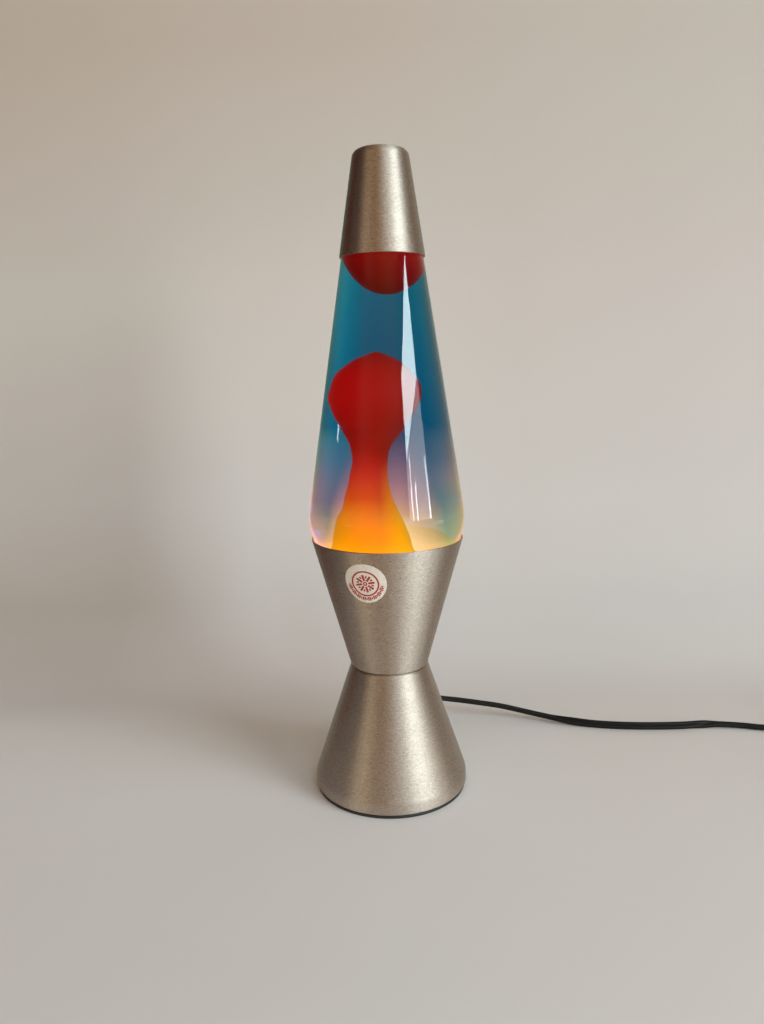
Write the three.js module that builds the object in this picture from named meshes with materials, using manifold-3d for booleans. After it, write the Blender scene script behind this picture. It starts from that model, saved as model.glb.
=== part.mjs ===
// Liquid motion lamp: a waisted spun-aluminium base, a tapered glass bottle of coloured
// liquid and wax, a spun cap, and a flat two-core lead with an in-line rocker switch.
// Units are millimetres, +Z is up, and the origin is the centre of the base where it stands.
// The front of the lamp faces -Y, and its lead leaves the back, a little to the right.
import * as THREE from "three";
import { mergeVertices } from "three/addons/utils/BufferGeometryUtils.js";
import Module from "manifold-3d";

const wasm = await Module();
wasm.setup();

// Driving dimensions: the outline of the lamp, whose heights stack up from the table
const footRadius = 46;
const waistRadius = 23.1;
const waistHeight = 77.3;
const cupRimRadius = 44.3;
const cupHeight = 77.1;
const glassShowing = 157.8;
const capRimRadius = 23.9;
const capHeight = 55.8;
const capTopRadius = 15.1;
const cupRimHeight = waistHeight + cupHeight;
const capRimHeight = cupRimHeight + glassShowing;
const totalHeight = capRimHeight + capHeight;

// Driving dimensions: walls and clearances
const shellWall = 1;
const capWall = 0.8;
const glassWall = 2.6;
const seatGap = 0.3;
const cutOverrun = 2;

// Facets of round pieces
const roundSides = 32;
const middleSides = 20;
const threadSides = 16;
const smallSides = 12;
const filletSteps = 2;
const fineSteps = 4;
const filletRoomShare = 0.49;

const fullTurn = 2 * Math.PI;
const quarterTurn = Math.PI / 2;
const degree = Math.PI / 180;

const finish = (color, roughness, metalness, opacity = 1) =>
  new THREE.MeshStandardMaterial({ color, roughness, metalness, opacity, transparent: opacity < 1 });
const materials = {
  aluminium: finish(0xb3a896, 0.35, 1),
  blackPlastic: finish(0x141312, 0.6, 0),
  steel: finish(0x9a9a98, 0.4, 1),
  brass: finish(0xb08d4a, 0.35, 1),
  phenolic: finish(0x1d1613, 0.4, 0),
  leadSleeve: finish(0x2a2826, 0.6, 0),
  whiteSleeve: finish(0xd8d4cc, 0.6, 0),
  cordVinyl: finish(0x0c0b0b, 0.5, 0),
  glass: finish(0xe6efee, 0.05, 0, 0.3),
  liquid: finish(0x1c5c78, 0.1, 0, 0.6),
  wax: finish(0xb01812, 0.4, 0),
  tinPlate: finish(0xc8c4bc, 0.3, 1),
  liner: finish(0x8c9a8f, 0.8, 0),
  tungsten: finish(0x55504a, 0.5, 1),
  sticker: finish(0xded6c9, 0.7, 0),
};

// A named mesh, placed at a position if one is given
function piece(name, material, geometry, position = [0, 0, 0]) {
  const mesh = new THREE.Mesh(geometry, material);
  mesh.name = name;
  mesh.position.set(...position);
  return mesh;
}

function group(...members) {
  const made = new THREE.Group();
  made.add(...members);
  return made;
}

// Solids: the way into manifold-3d and back, for joins and cuts
function solidOf(geometry) {
  const bare = new THREE.BufferGeometry();
  bare.setAttribute("position", geometry.getAttribute("position"));
  bare.setIndex(geometry.getIndex());
  const merged = mergeVertices(bare, 1e-4);
  return new wasm.Manifold(
    new wasm.Mesh({
      numProp: 3,
      vertProperties: merged.getAttribute("position").array,
      triVerts: new Uint32Array(merged.getIndex().array),
    }),
  );
}

function geometryOf(solid) {
  const mesh = solid.getMesh();
  const geometry = new THREE.BufferGeometry();
  geometry.setAttribute("position", new THREE.BufferAttribute(mesh.vertProperties, 3));
  geometry.setIndex(new THREE.BufferAttribute(mesh.triVerts, 1));
  return geometry;
}

const cut = (geometry, ...tools) =>
  geometryOf(tools.reduce((solid, tool) => solid.subtract(solidOf(tool)), solidOf(geometry)));
const join = (geometry, ...others) =>
  geometryOf(others.reduce((solid, other) => solid.add(solidOf(other)), solidOf(geometry)));
const common = (geometry, ...others) =>
  geometryOf(others.reduce((solid, other) => solid.intersect(solidOf(other)), solidOf(geometry)));

// Outlines: lists of [radius, height]. A third number rounds the corner to that fillet radius,
// and a fourth is the number of facets on it.
function filleted(corners) {
  return corners.flatMap(([radius, height, fillet = 0, steps = filletSteps], i) => {
    if (!fillet || i === 0 || i === corners.length - 1) return [[radius, height]];
    const corner = new THREE.Vector2(radius, height);
    const back = new THREE.Vector2(...corners[i - 1].slice(0, 2)).sub(corner);
    const ahead = new THREE.Vector2(...corners[i + 1].slice(0, 2)).sub(corner);
    const half = Math.abs(back.angleTo(ahead)) / 2;
    const room = Math.min(back.length(), ahead.length());
    const tangent = Math.min(fillet / Math.tan(half), room * filletRoomShare);
    const from = corner.clone().addScaledVector(back.normalize(), tangent);
    const to = corner.clone().addScaledVector(ahead.normalize(), tangent);
    const middle = back.clone().add(ahead).normalize();
    const centre = corner.clone().addScaledVector(middle, tangent / Math.cos(half));
    const arm = from.clone().sub(centre);
    const other = to.clone().sub(centre);
    const sweep = Math.atan2(arm.cross(other), arm.dot(other));
    return Array.from({ length: steps + 1 }, (_, k) => {
      const point = arm.clone().rotateAround(new THREE.Vector2(), (sweep * k) / steps);
      return point.add(centre).toArray();
    });
  });
}

// The line again, moved to its left by a distance: inwards, for a line that climbs outside
function offsetLine(line, distance) {
  const lefts = line.slice(1).map(([radius, height], i) => {
    const along = new THREE.Vector2(radius - line[i][0], height - line[i][1]).normalize();
    return new THREE.Vector2(-along.y, along.x);
  });
  return line.map(([radius, height], i) => {
    const before = lefts[Math.max(i - 1, 0)];
    const after = lefts[Math.min(i, lefts.length - 1)];
    const mitre = before.clone().add(after).normalize();
    const reach = distance / mitre.dot(after);
    return [radius + mitre.x * reach, height + mitre.y * reach];
  });
}

// Revolved pieces: an outline runs up its outside, and ends on the axis or where it began
function revolve(outline, sides = roundSides) {
  const first = outline[0];
  const last = outline[outline.length - 1];
  const onAxis = first[0] === 0 && last[0] === 0;
  const closed = onAxis ? outline : [...outline, first];
  const geometry = new THREE.LatheGeometry(closed.map((p) => new THREE.Vector2(...p)), sides);
  return geometry.rotateX(quarterTurn);
}

// A pressed or spun sheet: the outside line, and the same line one wall further in
function sheet(line, wall, sides = roundSides) {
  return revolve([...offsetLine(line, wall).reverse(), ...line], sides);
}

// A cylinder from one height to another
function rod(radius, from, to, sides = smallSides) {
  return revolve([[0, from], [radius, from], [radius, to], [0, to]], sides);
}

function box(width, depth, height) {
  return new THREE.BoxGeometry(width, depth, height);
}

// A flat outline of [x, y] points, extruded upwards from one height to another
function slab(points, from, to) {
  const shape = new THREE.Shape(points.map((p) => new THREE.Vector2(...p)));
  const geometry = new THREE.ExtrudeGeometry(shape, { depth: to - from, bevelEnabled: false });
  return geometry.translate(0, 0, from);
}

// A side outline of [x, z] points, extruded across y by a width centred on the axis
function sideSlab(points, width) {
  return slab(points, -width / 2, width / 2).rotateX(quarterTurn);
}

// The surface through rings of points, each ring with as many points, closed at both ends
function skin(rings) {
  const sides = rings[0].length;
  const centreOf = (ring) =>
    ring.reduce((sum, p) => sum.add(p), new THREE.Vector3()).divideScalar(ring.length);
  const points = [...rings.flat(), centreOf(rings[0]), centreOf(rings[rings.length - 1])];
  const first = rings.length * sides;
  const faces = [];
  for (let i = 0; i < sides; i += 1) {
    const next = (i + 1) % sides;
    const end = (rings.length - 1) * sides;
    for (let k = 0; k + 1 < rings.length; k += 1) {
      const low = k * sides;
      const high = low + sides;
      faces.push(low + i, low + next, high + i, high + next, high + i, low + next);
    }
    faces.push(first, next, i, first + 1, end + i, end + next);
  }
  const geometry = new THREE.BufferGeometry().setFromPoints(points);
  geometry.setIndex(faces);
  return geometry;
}

// The outline of a regular polygon, as [x, y] points
const polygon = (radius, sides) =>
  Array.from({ length: sides }, (_, i) => {
    const angle = (fullTurn * i) / sides;
    return [radius * Math.cos(angle), radius * Math.sin(angle)];
  });

// A tube along a curve, with a section of [across, up] points
function tubeAlong(curve, section, steps) {
  const shape = new THREE.Shape(section.map(([across, up]) => new THREE.Vector2(up, across)));
  return new THREE.ExtrudeGeometry(shape, { steps, extrudePath: curve, bevelEnabled: false });
}

// A curve that lies about level, whose frames keep a flat section's wide side level too
class LevelCurve extends THREE.CatmullRomCurve3 {
  constructor(places) {
    super(places.map((p) => new THREE.Vector3(...p)), false, "centripetal");
  }

  computeFrenetFrames(segments) {
    const tangents = Array.from({ length: segments + 1 }, (_, i) => this.getTangentAt(i / segments));
    const binormals = tangents.map((along) => along.clone().cross(new THREE.Vector3(0, 0, 1)).normalize());
    const normals = binormals.map((across, i) => across.clone().cross(tangents[i]));
    return { tangents, normals, binormals };
  }
}

// A wound tube through close points. Its section is a list of [across, up], which turns
// about the line by roll, given the number of the point.
function woundTube(points, section, roll = () => 0) {
  const rings = points.map((point, i) => {
    const before = points[Math.max(i - 1, 0)];
    const after = points[Math.min(i + 1, points.length - 1)];
    const along = after.clone().sub(before).normalize();
    const across = new THREE.Vector3(0, 0, 1).cross(along).normalize();
    const up = along.clone().cross(across);
    const turn = roll(i);
    return section.map(([a, b]) => {
      const u = a * Math.cos(turn) - b * Math.sin(turn);
      const v = a * Math.sin(turn) + b * Math.cos(turn);
      return point.clone().addScaledVector(across, u).addScaledVector(up, v);
    });
  });
  return skin(rings);
}

// The nearest that one winding comes to another, measured on the tube's own points
function leastGap(rings, stepsPerLoop) {
  let least = Infinity;
  rings.forEach((ring, i) =>
    rings.slice(i + Math.round(stepsPerLoop / 2)).forEach((other) =>
      ring.forEach((p) => other.forEach((q) => (least = Math.min(least, p.distanceTo(q))))),
    ),
  );
  return least;
}

// The walls of the cup and the cap, which the glass follows
const cupSlope = (cupRimRadius - waistRadius) / cupHeight;
const capSlope = (capRimRadius - capTopRadius) / capHeight;
const cupLean = Math.hypot(1, cupSlope);
const capLean = Math.hypot(1, capSlope);
const cupRadiusAt = (height) => waistRadius + cupSlope * (height - waistHeight);
const capRadiusAt = (height) => capRimRadius - capSlope * (height - capRimHeight);

// Lower cone: spun sheet with a rounded foot, a hem turned in below and a floor at the waist
const footShoulder = 9;
const footFillet = 6;
const hemHeight = 2;
const hemWidth = 2.6;
const hemFillet = 1.2;
const waistFillet = 1.6;
const waistHoleRadius = 13.2;
const coneTop = waistHeight - seatGap;
const coneSlope = (footRadius - waistRadius) / (waistHeight - footShoulder);
const coneRadiusAt = (height) => waistRadius + coneSlope * (waistHeight - height);

const rivetCircle = 17.4;
const rivetRadius = 1.6;
const rivetCount = 3;
const rivetTurn = 30 * degree;

// Round holes on the rivet circle, through every sheet at the waist
function rivetHoles(from, to) {
  return Array.from({ length: rivetCount }, (_, i) => {
    const angle = rivetTurn + (fullTurn * i) / rivetCount;
    const hole = rod(rivetRadius + seatGap, from - cutOverrun, to + cutOverrun, smallSides);
    return hole.translate(rivetCircle * Math.cos(angle), rivetCircle * Math.sin(angle), 0);
  });
}

// The place where the lead leaves, on the cone's own wall and square to it
const cordExitHeight = 14;
const cordExitTurn = 18 * degree;
const bootNeckRadius = 5;
const bootFlangeRadius = 7;
const coneTilt = Math.atan(coneSlope);

// Turns geometry modelled along +X into the frame of the lead's exit
function atCordExit(geometry) {
  return geometry
    .rotateY(-coneTilt)
    .translate(coneRadiusAt(cordExitHeight), 0, cordExitHeight)
    .rotateZ(quarterTurn - cordExitTurn);
}

function lowerCone() {
  const line = filleted([
    [footRadius - hemWidth, hemHeight],
    [footRadius, hemHeight, hemFillet, 1],
    [footRadius, footShoulder, footFillet],
    [coneRadiusAt(coneTop), coneTop, waistFillet, 1],
    [waistHoleRadius, coneTop],
  ]);
  const reach = bootNeckRadius + seatGap;
  const cordHole = rod(reach, -cutOverrun - shellWall, cutOverrun, middleSides).rotateY(quarterTurn);
  const holes = rivetHoles(coneTop - shellWall, coneTop);
  return cut(sheet(line, shellWall), atCordExit(cordHole), ...holes);
}

// Foot ring: the black edge that the lamp stands on. The bottom cover lifts it to the hem.
const ringInset = 0.7;
const ringLip = 1.7;
const ringHeight = 4.6;
const ringFlange = 4.5;
const ringWall = 1.5;
const coverWall = 1.6;
const coverRadius = footRadius - hemWidth - ringWall - 2 * seatGap;
const coverLift = 1.3;

function footRing() {
  const outer = footRadius - ringInset;
  const neck = footRadius - hemWidth - seatGap;
  const bore = neck - ringWall;
  const ledge = coverLift + coverWall + seatGap;
  const lip = hemHeight - seatGap;
  return revolve([
    [bore, 0],
    [outer, 0],
    [outer, Math.min(ringLip, lip)],
    [neck, Math.min(ringLip, lip)],
    [neck, ringHeight],
    [neck - ringFlange, ringHeight],
    [neck - ringFlange, ledge],
    [bore, ledge],
  ]);
}

// Bottom cover: a moulded disc with a dish for the nut and slots that let the heat out
const studRadius = 3;
const nutHeight = 3.2;
const nutRadius = 5.8;
const dishRadius = 10.5;
const dishRamp = 2;
const ventCount = 12;
const ventWidth = 3.2;
const ventInner = 17;
const ventOuter = 33;
const dishHeight = coverLift + nutHeight + 2 * seatGap;

function bottomCover() {
  const line = [
    [coverRadius, coverLift],
    [coverRadius, coverLift + coverWall],
    [dishRadius + dishRamp, coverLift + coverWall],
    [dishRadius, dishHeight + coverWall],
    [studRadius + seatGap, dishHeight + coverWall],
    [studRadius + seatGap, dishHeight],
    [dishRadius - coverWall, dishHeight],
    [dishRadius + dishRamp - coverWall, coverLift],
  ];
  const vents = Array.from({ length: ventCount }, (_, i) => {
    const slot = box(ventOuter - ventInner, ventWidth, coverWall + 2 * cutOverrun);
    slot.translate((ventInner + ventOuter) / 2, 0, coverLift + coverWall / 2);
    return slot.rotateZ((fullTurn * (i + 1 / 2)) / ventCount);
  });
  return cut(revolve(line, middleSides), ...vents);
}

// Upper cup: spun sheet that narrows to the waist, where its floor meets the cone's
function upperCup() {
  const line = filleted([
    [waistHoleRadius, waistHeight],
    [waistRadius, waistHeight, waistFillet, 1],
    [cupRimRadius, cupRimHeight],
  ]);
  return cut(sheet(line, shellWall), ...rivetHoles(waistHeight, waistHeight + shellWall));
}

// Socket bracket: a ring under the waist, two legs and a foot that carries the socket
const bracketWall = 1.2;
const bracketDrop = 34;
const legWidth = 10;
const legInner = 14.4;
const bracketRim = 2.6;
const bracketTop = coneTop - shellWall - seatGap;
const bracketFoot = bracketTop - bracketDrop;

function socketBracket() {
  const outer = rivetCircle + bracketRim;
  const ring = revolve([
    [waistHoleRadius, bracketTop - bracketWall],
    [outer, bracketTop - bracketWall],
    [outer, bracketTop],
    [waistHoleRadius, bracketTop],
  ], middleSides);
  const legs = [1, -1].map((side) =>
    box(bracketWall, legWidth, bracketDrop).translate(
      side * (legInner + bracketWall / 2), 0, bracketTop - bracketDrop / 2),
  );
  const foot = box(2 * (legInner + bracketWall), legWidth, bracketWall);
  foot.translate(0, 0, bracketFoot + bracketWall / 2);
  const studBore = studRadius + seatGap;
  const studHole = rod(studBore, bracketFoot - cutOverrun, bracketFoot + bracketWall + cutOverrun);
  return cut(join(ring, ...legs, foot), studHole, ...rivetHoles(bracketTop - bracketWall, bracketTop));
}

// Waist rivets: they hold the cup, the cone and the bracket together
const rivetHeadRadius = 2.9;
const rivetHeadHeight = 1.3;
const rivetDome = 0.6;

function waistRivets() {
  const top = waistHeight + shellWall + seatGap;
  const bottom = bracketTop - bracketWall - seatGap;
  const outline = [
    [0, bottom - rivetHeadHeight],
    [rivetHeadRadius - rivetDome, bottom - rivetHeadHeight],
    [rivetHeadRadius, bottom],
    [rivetRadius, bottom],
    [rivetRadius, top],
    [rivetHeadRadius, top],
    [rivetHeadRadius - rivetDome, top + rivetHeadHeight],
    [0, top + rivetHeadHeight],
  ];
  return Array.from({ length: rivetCount }, (_, i) => {
    const angle = rivetTurn + (fullTurn * i) / rivetCount;
    const place = [rivetCircle * Math.cos(angle), rivetCircle * Math.sin(angle), 0];
    return piece(`waist_rivet_${i + 1}`, materials.steel, revolve(outline, smallSides), place);
  });
}

// Lamp socket: a moulded body on the bracket's foot, with a brass screw shell inside
const threadRadius = 8.3;
const threadDepth = 0.7;
const threadPitch = 2.82;
const threadTurns = 4;
const socketShellWall = 0.5;
const socketWall = 2.1;
const socketFloor = 6.6;
const socketDepth = 22.5;
const socketBase = bracketFoot + bracketWall + seatGap;
const socketWaist = 9.4;
const socketRim = 0.8;
const shellInner = threadRadius + seatGap;
const socketBore = shellInner + threadDepth + socketShellWall + seatGap;
const socketRadius = socketBore + socketWall;
const socketTop = socketBase + socketFloor + socketDepth;
const studTop = socketBase + socketFloor / 2;

function socketBody() {
  const hub = studRadius + seatGap;
  return revolve([
    [0, studTop + seatGap],
    [hub, studTop + seatGap],
    [hub, socketBase],
    [socketRadius - socketRim, socketBase],
    [socketRadius - socketRim, socketBase + socketWaist],
    [socketRadius, socketBase + socketWaist + socketRim],
    [socketRadius, socketTop],
    [socketBore, socketTop],
    [socketBore, socketBase + socketFloor],
    [0, socketBase + socketFloor],
  ], middleSides);
}

// Rings of a rolled screw thread, as [radius, height] points that climb from a height
function threadLine(radius, from, turns, steps = 2) {
  return Array.from({ length: turns * steps + 1 }, (_, i) => [
    radius - (i % 2 ? 0 : threadDepth),
    from + (i * threadPitch) / steps,
  ]);
}

const threadHeight = threadTurns * threadPitch;

function socketShell() {
  const base = socketTop - threadHeight - seatGap;
  const outer = threadLine(shellInner + threadDepth + socketShellWall, base, threadTurns);
  const inner = threadLine(shellInner + threadDepth, base, threadTurns);
  return revolve([...inner.reverse(), ...outer], threadSides);
}

// Centre contact: a brass tongue that springs up from the floor of the socket
const contactWall = 0.5;
const contactWidth = 5;
const contactReach = 6.4;
const contactRise = 2.2;
const contactNose = 1.8;

function centreContact() {
  const floor = socketBase + socketFloor + seatGap;
  const below = [
    [-contactReach, floor],
    [contactReach, floor],
    [contactReach, floor + contactWall],
    [-contactReach + contactWall, floor + contactWall],
    [contactNose, floor + contactRise - contactWall],
    [contactNose, floor + contactRise],
    [-contactNose, floor + contactRise],
    [-contactReach, floor + contactWall],
  ];
  return sideSlab(below, contactWidth);
}

// Stud and nuts: they draw the bottom cover up against the foot ring and hold the socket
const hexSides = 6;
const hexRing = (radius) => polygon(radius, hexSides);

function nut(base) {
  const hole = rod(studRadius + seatGap, base - cutOverrun, base + nutHeight + cutOverrun);
  return cut(slab(hexRing(nutRadius), base, base + nutHeight), hole);
}

// Terminal screws, one each side of the socket, that the two cores end under
const terminalHeight = 3.4;
const terminalHead = 2.6;
const terminalHeadHeight = 1.5;
const sleeveRadius = 1.1;

function terminalScrews() {
  const face = socketRadius - socketRim + seatGap;
  const height = socketBase + terminalHeight;
  return ["live", "neutral"].map((name, i) => {
    const outline = [
      [0, 0],
      [terminalHead, 0],
      [terminalHead, terminalHeadHeight],
      [0, terminalHeadHeight],
    ];
    const screw = revolve(outline, smallSides).rotateX(i ? quarterTurn : -quarterTurn);
    const side = i ? -1 : 1;
    return piece(`terminal_screw_${name}`, materials.brass, screw, [0, side * face, height]);
  });
}

// Lead boot: a moulded bush through the cone's wall, tapering down to the flat lead
const bootLength = 20;
const bootEndRadius = 3.6;
const bootFlangeWall = 1.6;
const bootInnerWall = 1.6;
const bootCurveRoom = 0.9;
const bootGrooves = 3;
const bootGroove = 0.5;

function cordBoot() {
  const inner = -shellWall - seatGap - bootCurveRoom;
  const taper = Array.from({ length: bootGrooves }, (_, i) => {
    const share = (i + 1) / (bootGrooves + 1);
    const radius = THREE.MathUtils.lerp(bootNeckRadius, bootEndRadius, share);
    const place = THREE.MathUtils.lerp(bootFlangeWall, bootLength, share);
    return [
      [radius, place - 2 * bootGroove],
      [radius - bootGroove, place - bootGroove],
      [radius - bootGroove, place + bootGroove],
      [radius, place + 2 * bootGroove],
    ];
  }).flat();
  const outline = [
    [0, inner - bootInnerWall],
    [bootFlangeRadius - bootInnerWall / 2, inner - bootInnerWall],
    [bootFlangeRadius - bootInnerWall / 2, inner],
    [bootNeckRadius, inner],
    [bootNeckRadius, seatGap],
    [bootFlangeRadius, seatGap],
    [bootFlangeRadius - bootFlangeWall / 2, seatGap + bootFlangeWall],
    [bootNeckRadius, seatGap + bootFlangeWall],
    ...taper,
    [bootEndRadius, bootLength],
    [0, bootLength],
  ];
  return atCordExit(revolve(outline, threadSides).rotateY(quarterTurn));
}

// A point on the axis of the lead's exit, that far out from the cone's wall
function exitPoint(distance) {
  const radius = coneRadiusAt(cordExitHeight) + distance * Math.cos(coneTilt);
  return [
    radius * Math.sin(cordExitTurn),
    radius * Math.cos(cordExitTurn),
    cordExitHeight + distance * Math.sin(coneTilt),
  ];
}

// The two sleeved cores inside the cone: they part at the boot, and one climbs to the near
// terminal while the other passes the bracket's leg to the far one
const coreSteps = 22;
const coreSides = 6;
const coreTurnShare = 2 / 3;
const coreClimbShares = [0.5, 0.8];

function cores() {
  const inner = -(shellWall + bootCurveRoom + bootInnerWall + 3 * seatGap + sleeveRadius);
  const terminal = socketRadius + terminalHeadHeight + 2 * seatGap + sleeveRadius;
  const swing = legInner + bracketWall + 3 * sleeveRadius;
  const height = socketBase + terminalHeight;
  const [x, y, z] = exitPoint(inner);
  const apart = sleeveRadius + 2 * seatGap;
  const core = (name, material, side, ...climb) => {
    const start = [x - side * apart, y, z];
    const turn = [x * coreTurnShare - side * apart, y * coreTurnShare, z];
    const places = [start, turn, ...climb].map((p) => new THREE.Vector3(...p));
    const curve = new THREE.CatmullRomCurve3(places, false, "centripetal");
    return piece(name, material, tubeAlong(curve, polygon(sleeveRadius, coreSides), coreSteps));
  };
  const [low, high] = coreClimbShares.map((share) => height * share);
  return [
    core("core_live", materials.leadSleeve, 1, [0, terminal, (low + high) / 2], [0, terminal, height]),
    core("core_neutral", materials.whiteSleeve, -1,
      [swing, terminal / 2, low], [swing, -terminal / 2, high], [0, -terminal, height]),
  ];
}

// Round sticker: a thin disc that follows the cup's wall at the front
const stickerRadius = 12.1;
const stickerWall = 0.3;
const stickerDrop = 18.1;
const stickerHeight = cupRimHeight - stickerDrop;
const stickerTurn = -18.5 * degree;
const stickerRings = 3;

function roundSticker() {
  const place = (share, angle, lift) => {
    const along = stickerRadius * share * Math.sin(angle);
    const height = stickerHeight + along / cupLean;
    const radius = cupRadiusAt(height);
    const turn = stickerTurn + (stickerRadius * share * Math.cos(angle)) / cupRadiusAt(stickerHeight);
    const out = radius + lift / cupLean;
    const drop = (lift * cupSlope) / cupLean;
    return new THREE.Vector3(out * Math.sin(turn), -out * Math.cos(turn), height - drop);
  };
  const ring = (share, lift) =>
    Array.from({ length: middleSides }, (_, i) => place(share, (fullTurn * i) / middleSides, lift));
  const shares = Array.from({ length: stickerRings }, (_, i) => (i + 1) / stickerRings);
  const backs = shares.map((share) => ring(share, seatGap));
  const fronts = shares.map((share) => ring(share, seatGap + stickerWall)).reverse();
  return skin([...backs, ...fronts]);
}

// Bulb: a screw cap, a pear-shaped envelope, and a filament on its glass stem
const bulbRadius = 17.5;
const bulbLength = 58;
const bulbNeckRadius = 6.7;
const bulbGlassWall = 0.8;
const bulbTipHeight = 1.4;
const bulbTipRadius = 2.4;
const insulatorHeight = 3.4;
const bulbCapWall = 0.5;
const bulbRise = 8;
const bulbTip = socketBase + socketFloor + 2 * seatGap + contactRise;
const bulbCapBase = bulbTip + bulbTipHeight + insulatorHeight + 2 * seatGap;
const bulbCapTop = bulbCapBase + threadHeight;
const bulbTop = bulbTip + bulbLength;
const bulbCement = 4.2;
const bulbGlassBase = bulbCapTop - bulbCement;
const bulbSteps = 8;
const neckSwell = 1.5;

// The envelope's outline: a neck that swells into a sphere, thinner by an inset
function envelopeLine(inset) {
  const radius = bulbRadius - inset;
  const centre = bulbTop - bulbRadius;
  const neck = bulbNeckRadius - inset;
  const start = Math.asin((neck * neckSwell) / radius);
  const ball = Array.from({ length: bulbSteps + 1 }, (_, i) => {
    const angle = THREE.MathUtils.lerp(Math.PI - start, 0, i / bulbSteps);
    return [i === bulbSteps ? 0 : radius * Math.sin(angle), centre + radius * Math.cos(angle)];
  });
  return [[neck, bulbGlassBase], [neck, bulbCapTop + seatGap], ...ball];
}

function bulbParts() {
  const envelope = revolve([...envelopeLine(bulbGlassWall).reverse(), ...envelopeLine(0)], threadSides);
  const outer = threadLine(threadRadius, bulbCapBase, threadTurns);
  const inner = threadLine(threadRadius - bulbCapWall, bulbCapBase, threadTurns);
  const cap = revolve([...inner.reverse(), ...outer], threadSides);
  const insulatorBase = bulbTip + bulbTipHeight + seatGap;
  const insulator = revolve([
    [0, insulatorBase],
    [bulbTipRadius + seatGap, insulatorBase],
    [threadRadius - threadDepth - bulbCapWall, insulatorBase + insulatorHeight],
    [0, insulatorBase + insulatorHeight],
  ], middleSides);
  const tip = revolve([
    [0, bulbTip],
    [bulbTipRadius / 2, bulbTip],
    [bulbTipRadius, bulbTip + bulbTipHeight / 2],
    [bulbTipRadius, bulbTip + bulbTipHeight],
    [0, bulbTip + bulbTipHeight],
  ], smallSides);
  return [
    piece("bulb_envelope", materials.glass, envelope),
    piece("bulb_screw_cap", materials.brass, cap),
    piece("bulb_insulator", materials.phenolic, insulator),
    piece("bulb_tip_contact", materials.steel, tip),
    ...bulbMount(),
  ];
}

// The stem inside the bulb, with the two wires that hold the filament
const stemRadius = 3.2;
const stemFlare = 5.6;
const stemNeck = 1.8;
const stemHeight = 20;
const wireRadius = 0.5;
const wireSpread = 6;
const wireHeight = 9;
const filamentSteps = 12;
const filamentRise = 2;

function bulbMount() {
  const base = bulbGlassBase;
  const top = base + stemHeight;
  const stem = revolve([
    [0, base],
    [stemFlare, base],
    [stemRadius, base + stemHeight / 3],
    [stemRadius, top - stemNeck],
    [stemNeck, top],
    [0, top],
  ], smallSides);
  const end = top + wireHeight;
  const wires = [1, -1].map((side, i) => {
    const foot = new THREE.Vector3(side * (stemNeck / 2), 0, top + seatGap);
    const head = new THREE.Vector3(side * wireSpread, 0, end);
    const shaft = rod(wireRadius, 0, foot.distanceTo(head), hexSides);
    const wire = piece(`filament_wire_${i + 1}`, materials.steel, shaft, foot.toArray());
    wire.rotation.y = Math.atan2(head.x - foot.x, head.z - foot.z);
    return wire;
  });
  const arch = Array.from({ length: filamentSteps + 1 }, (_, i) => {
    const share = i / filamentSteps;
    const x = THREE.MathUtils.lerp(-wireSpread, wireSpread, share);
    const lift = Math.sin(Math.PI * share) * filamentRise;
    return new THREE.Vector3(x, 0, end + 2 * wireRadius + seatGap + lift);
  });
  const filament = woundTube(arch, polygon(wireRadius, hexSides));
  return [
    piece("bulb_stem", materials.glass, stem),
    ...wires,
    piece("filament", materials.tungsten, filament),
  ];
}

// Glass bottle: it seats in the cup's taper, swells over the rim and narrows under the cap
const bottleLift = 1.6;
const bottlePushUp = 2.4;
const bottleFloor = 4;
const bottleHeel = 7;
const standInset = 8;
const pushUpInset = 5;
const shoulderFillet = 32;
const neckStart = 24;
const neckFillet = 10;
const neckRadius = 11.8;
const neckHeight = 9;
const beadRadius = 13.2;
const beadHeight = 5.4;
const beadRound = 1;
const mouthRadius = 8.4;
const crownRoom = 9.4;
const bottleBase = bulbTop + bulbRise + bottleLift;
const mouthHeight = totalHeight - crownRoom;

// Radii of the glass, inset by a distance square to its wall
const seatRadiusAt = (height, inset) => cupRadiusAt(height) - (shellWall + seatGap + inset) * cupLean;
const taperRadiusAt = (height, inset) => capRadiusAt(height) - (capWall + seatGap + inset) * capLean;

// The height at which the seat's taper and the upper taper would meet
function shoulderHeight(inset) {
  const taperAtZero = taperRadiusAt(0, inset);
  const seatAtZero = seatRadiusAt(0, inset);
  return (taperAtZero - seatAtZero) / (cupSlope + capSlope);
}

// The glass's side from a height up to the start of the neck
function glassSide(base, inset, heel) {
  const shoulder = shoulderHeight(inset);
  const top = capRimHeight + neckStart;
  return [
    [seatRadiusAt(base, inset), base, heel],
    [seatRadiusAt(shoulder, inset), shoulder, shoulderFillet, fineSteps],
    [taperRadiusAt(top, inset), top, neckFillet],
  ];
}

const innerFloor = bottleBase + bottlePushUp + bottleFloor;

function glassBottle() {
  const stand = seatRadiusAt(bottleBase, 0) - standInset;
  const neckTop = mouthHeight - beadHeight;
  const outside = filleted([
    [0, bottleBase + bottlePushUp],
    [stand - pushUpInset, bottleBase + bottlePushUp],
    [stand, bottleBase],
    ...glassSide(bottleBase, 0, bottleHeel),
    [neckRadius, neckTop - neckHeight / 2],
    [neckRadius, neckTop],
    [beadRadius, neckTop + beadRound],
    [beadRadius, mouthHeight - beadRound],
    [beadRadius - beadRound, mouthHeight],
    [mouthRadius, mouthHeight],
  ]);
  const inside = filleted([
    [0, innerFloor],
    ...glassSide(innerFloor, glassWall, bottleHeel),
    [mouthRadius, neckTop - neckHeight / 2 + glassWall / 2],
  ]);
  return revolve([...inside.reverse(), ...outside]);
}

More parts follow.
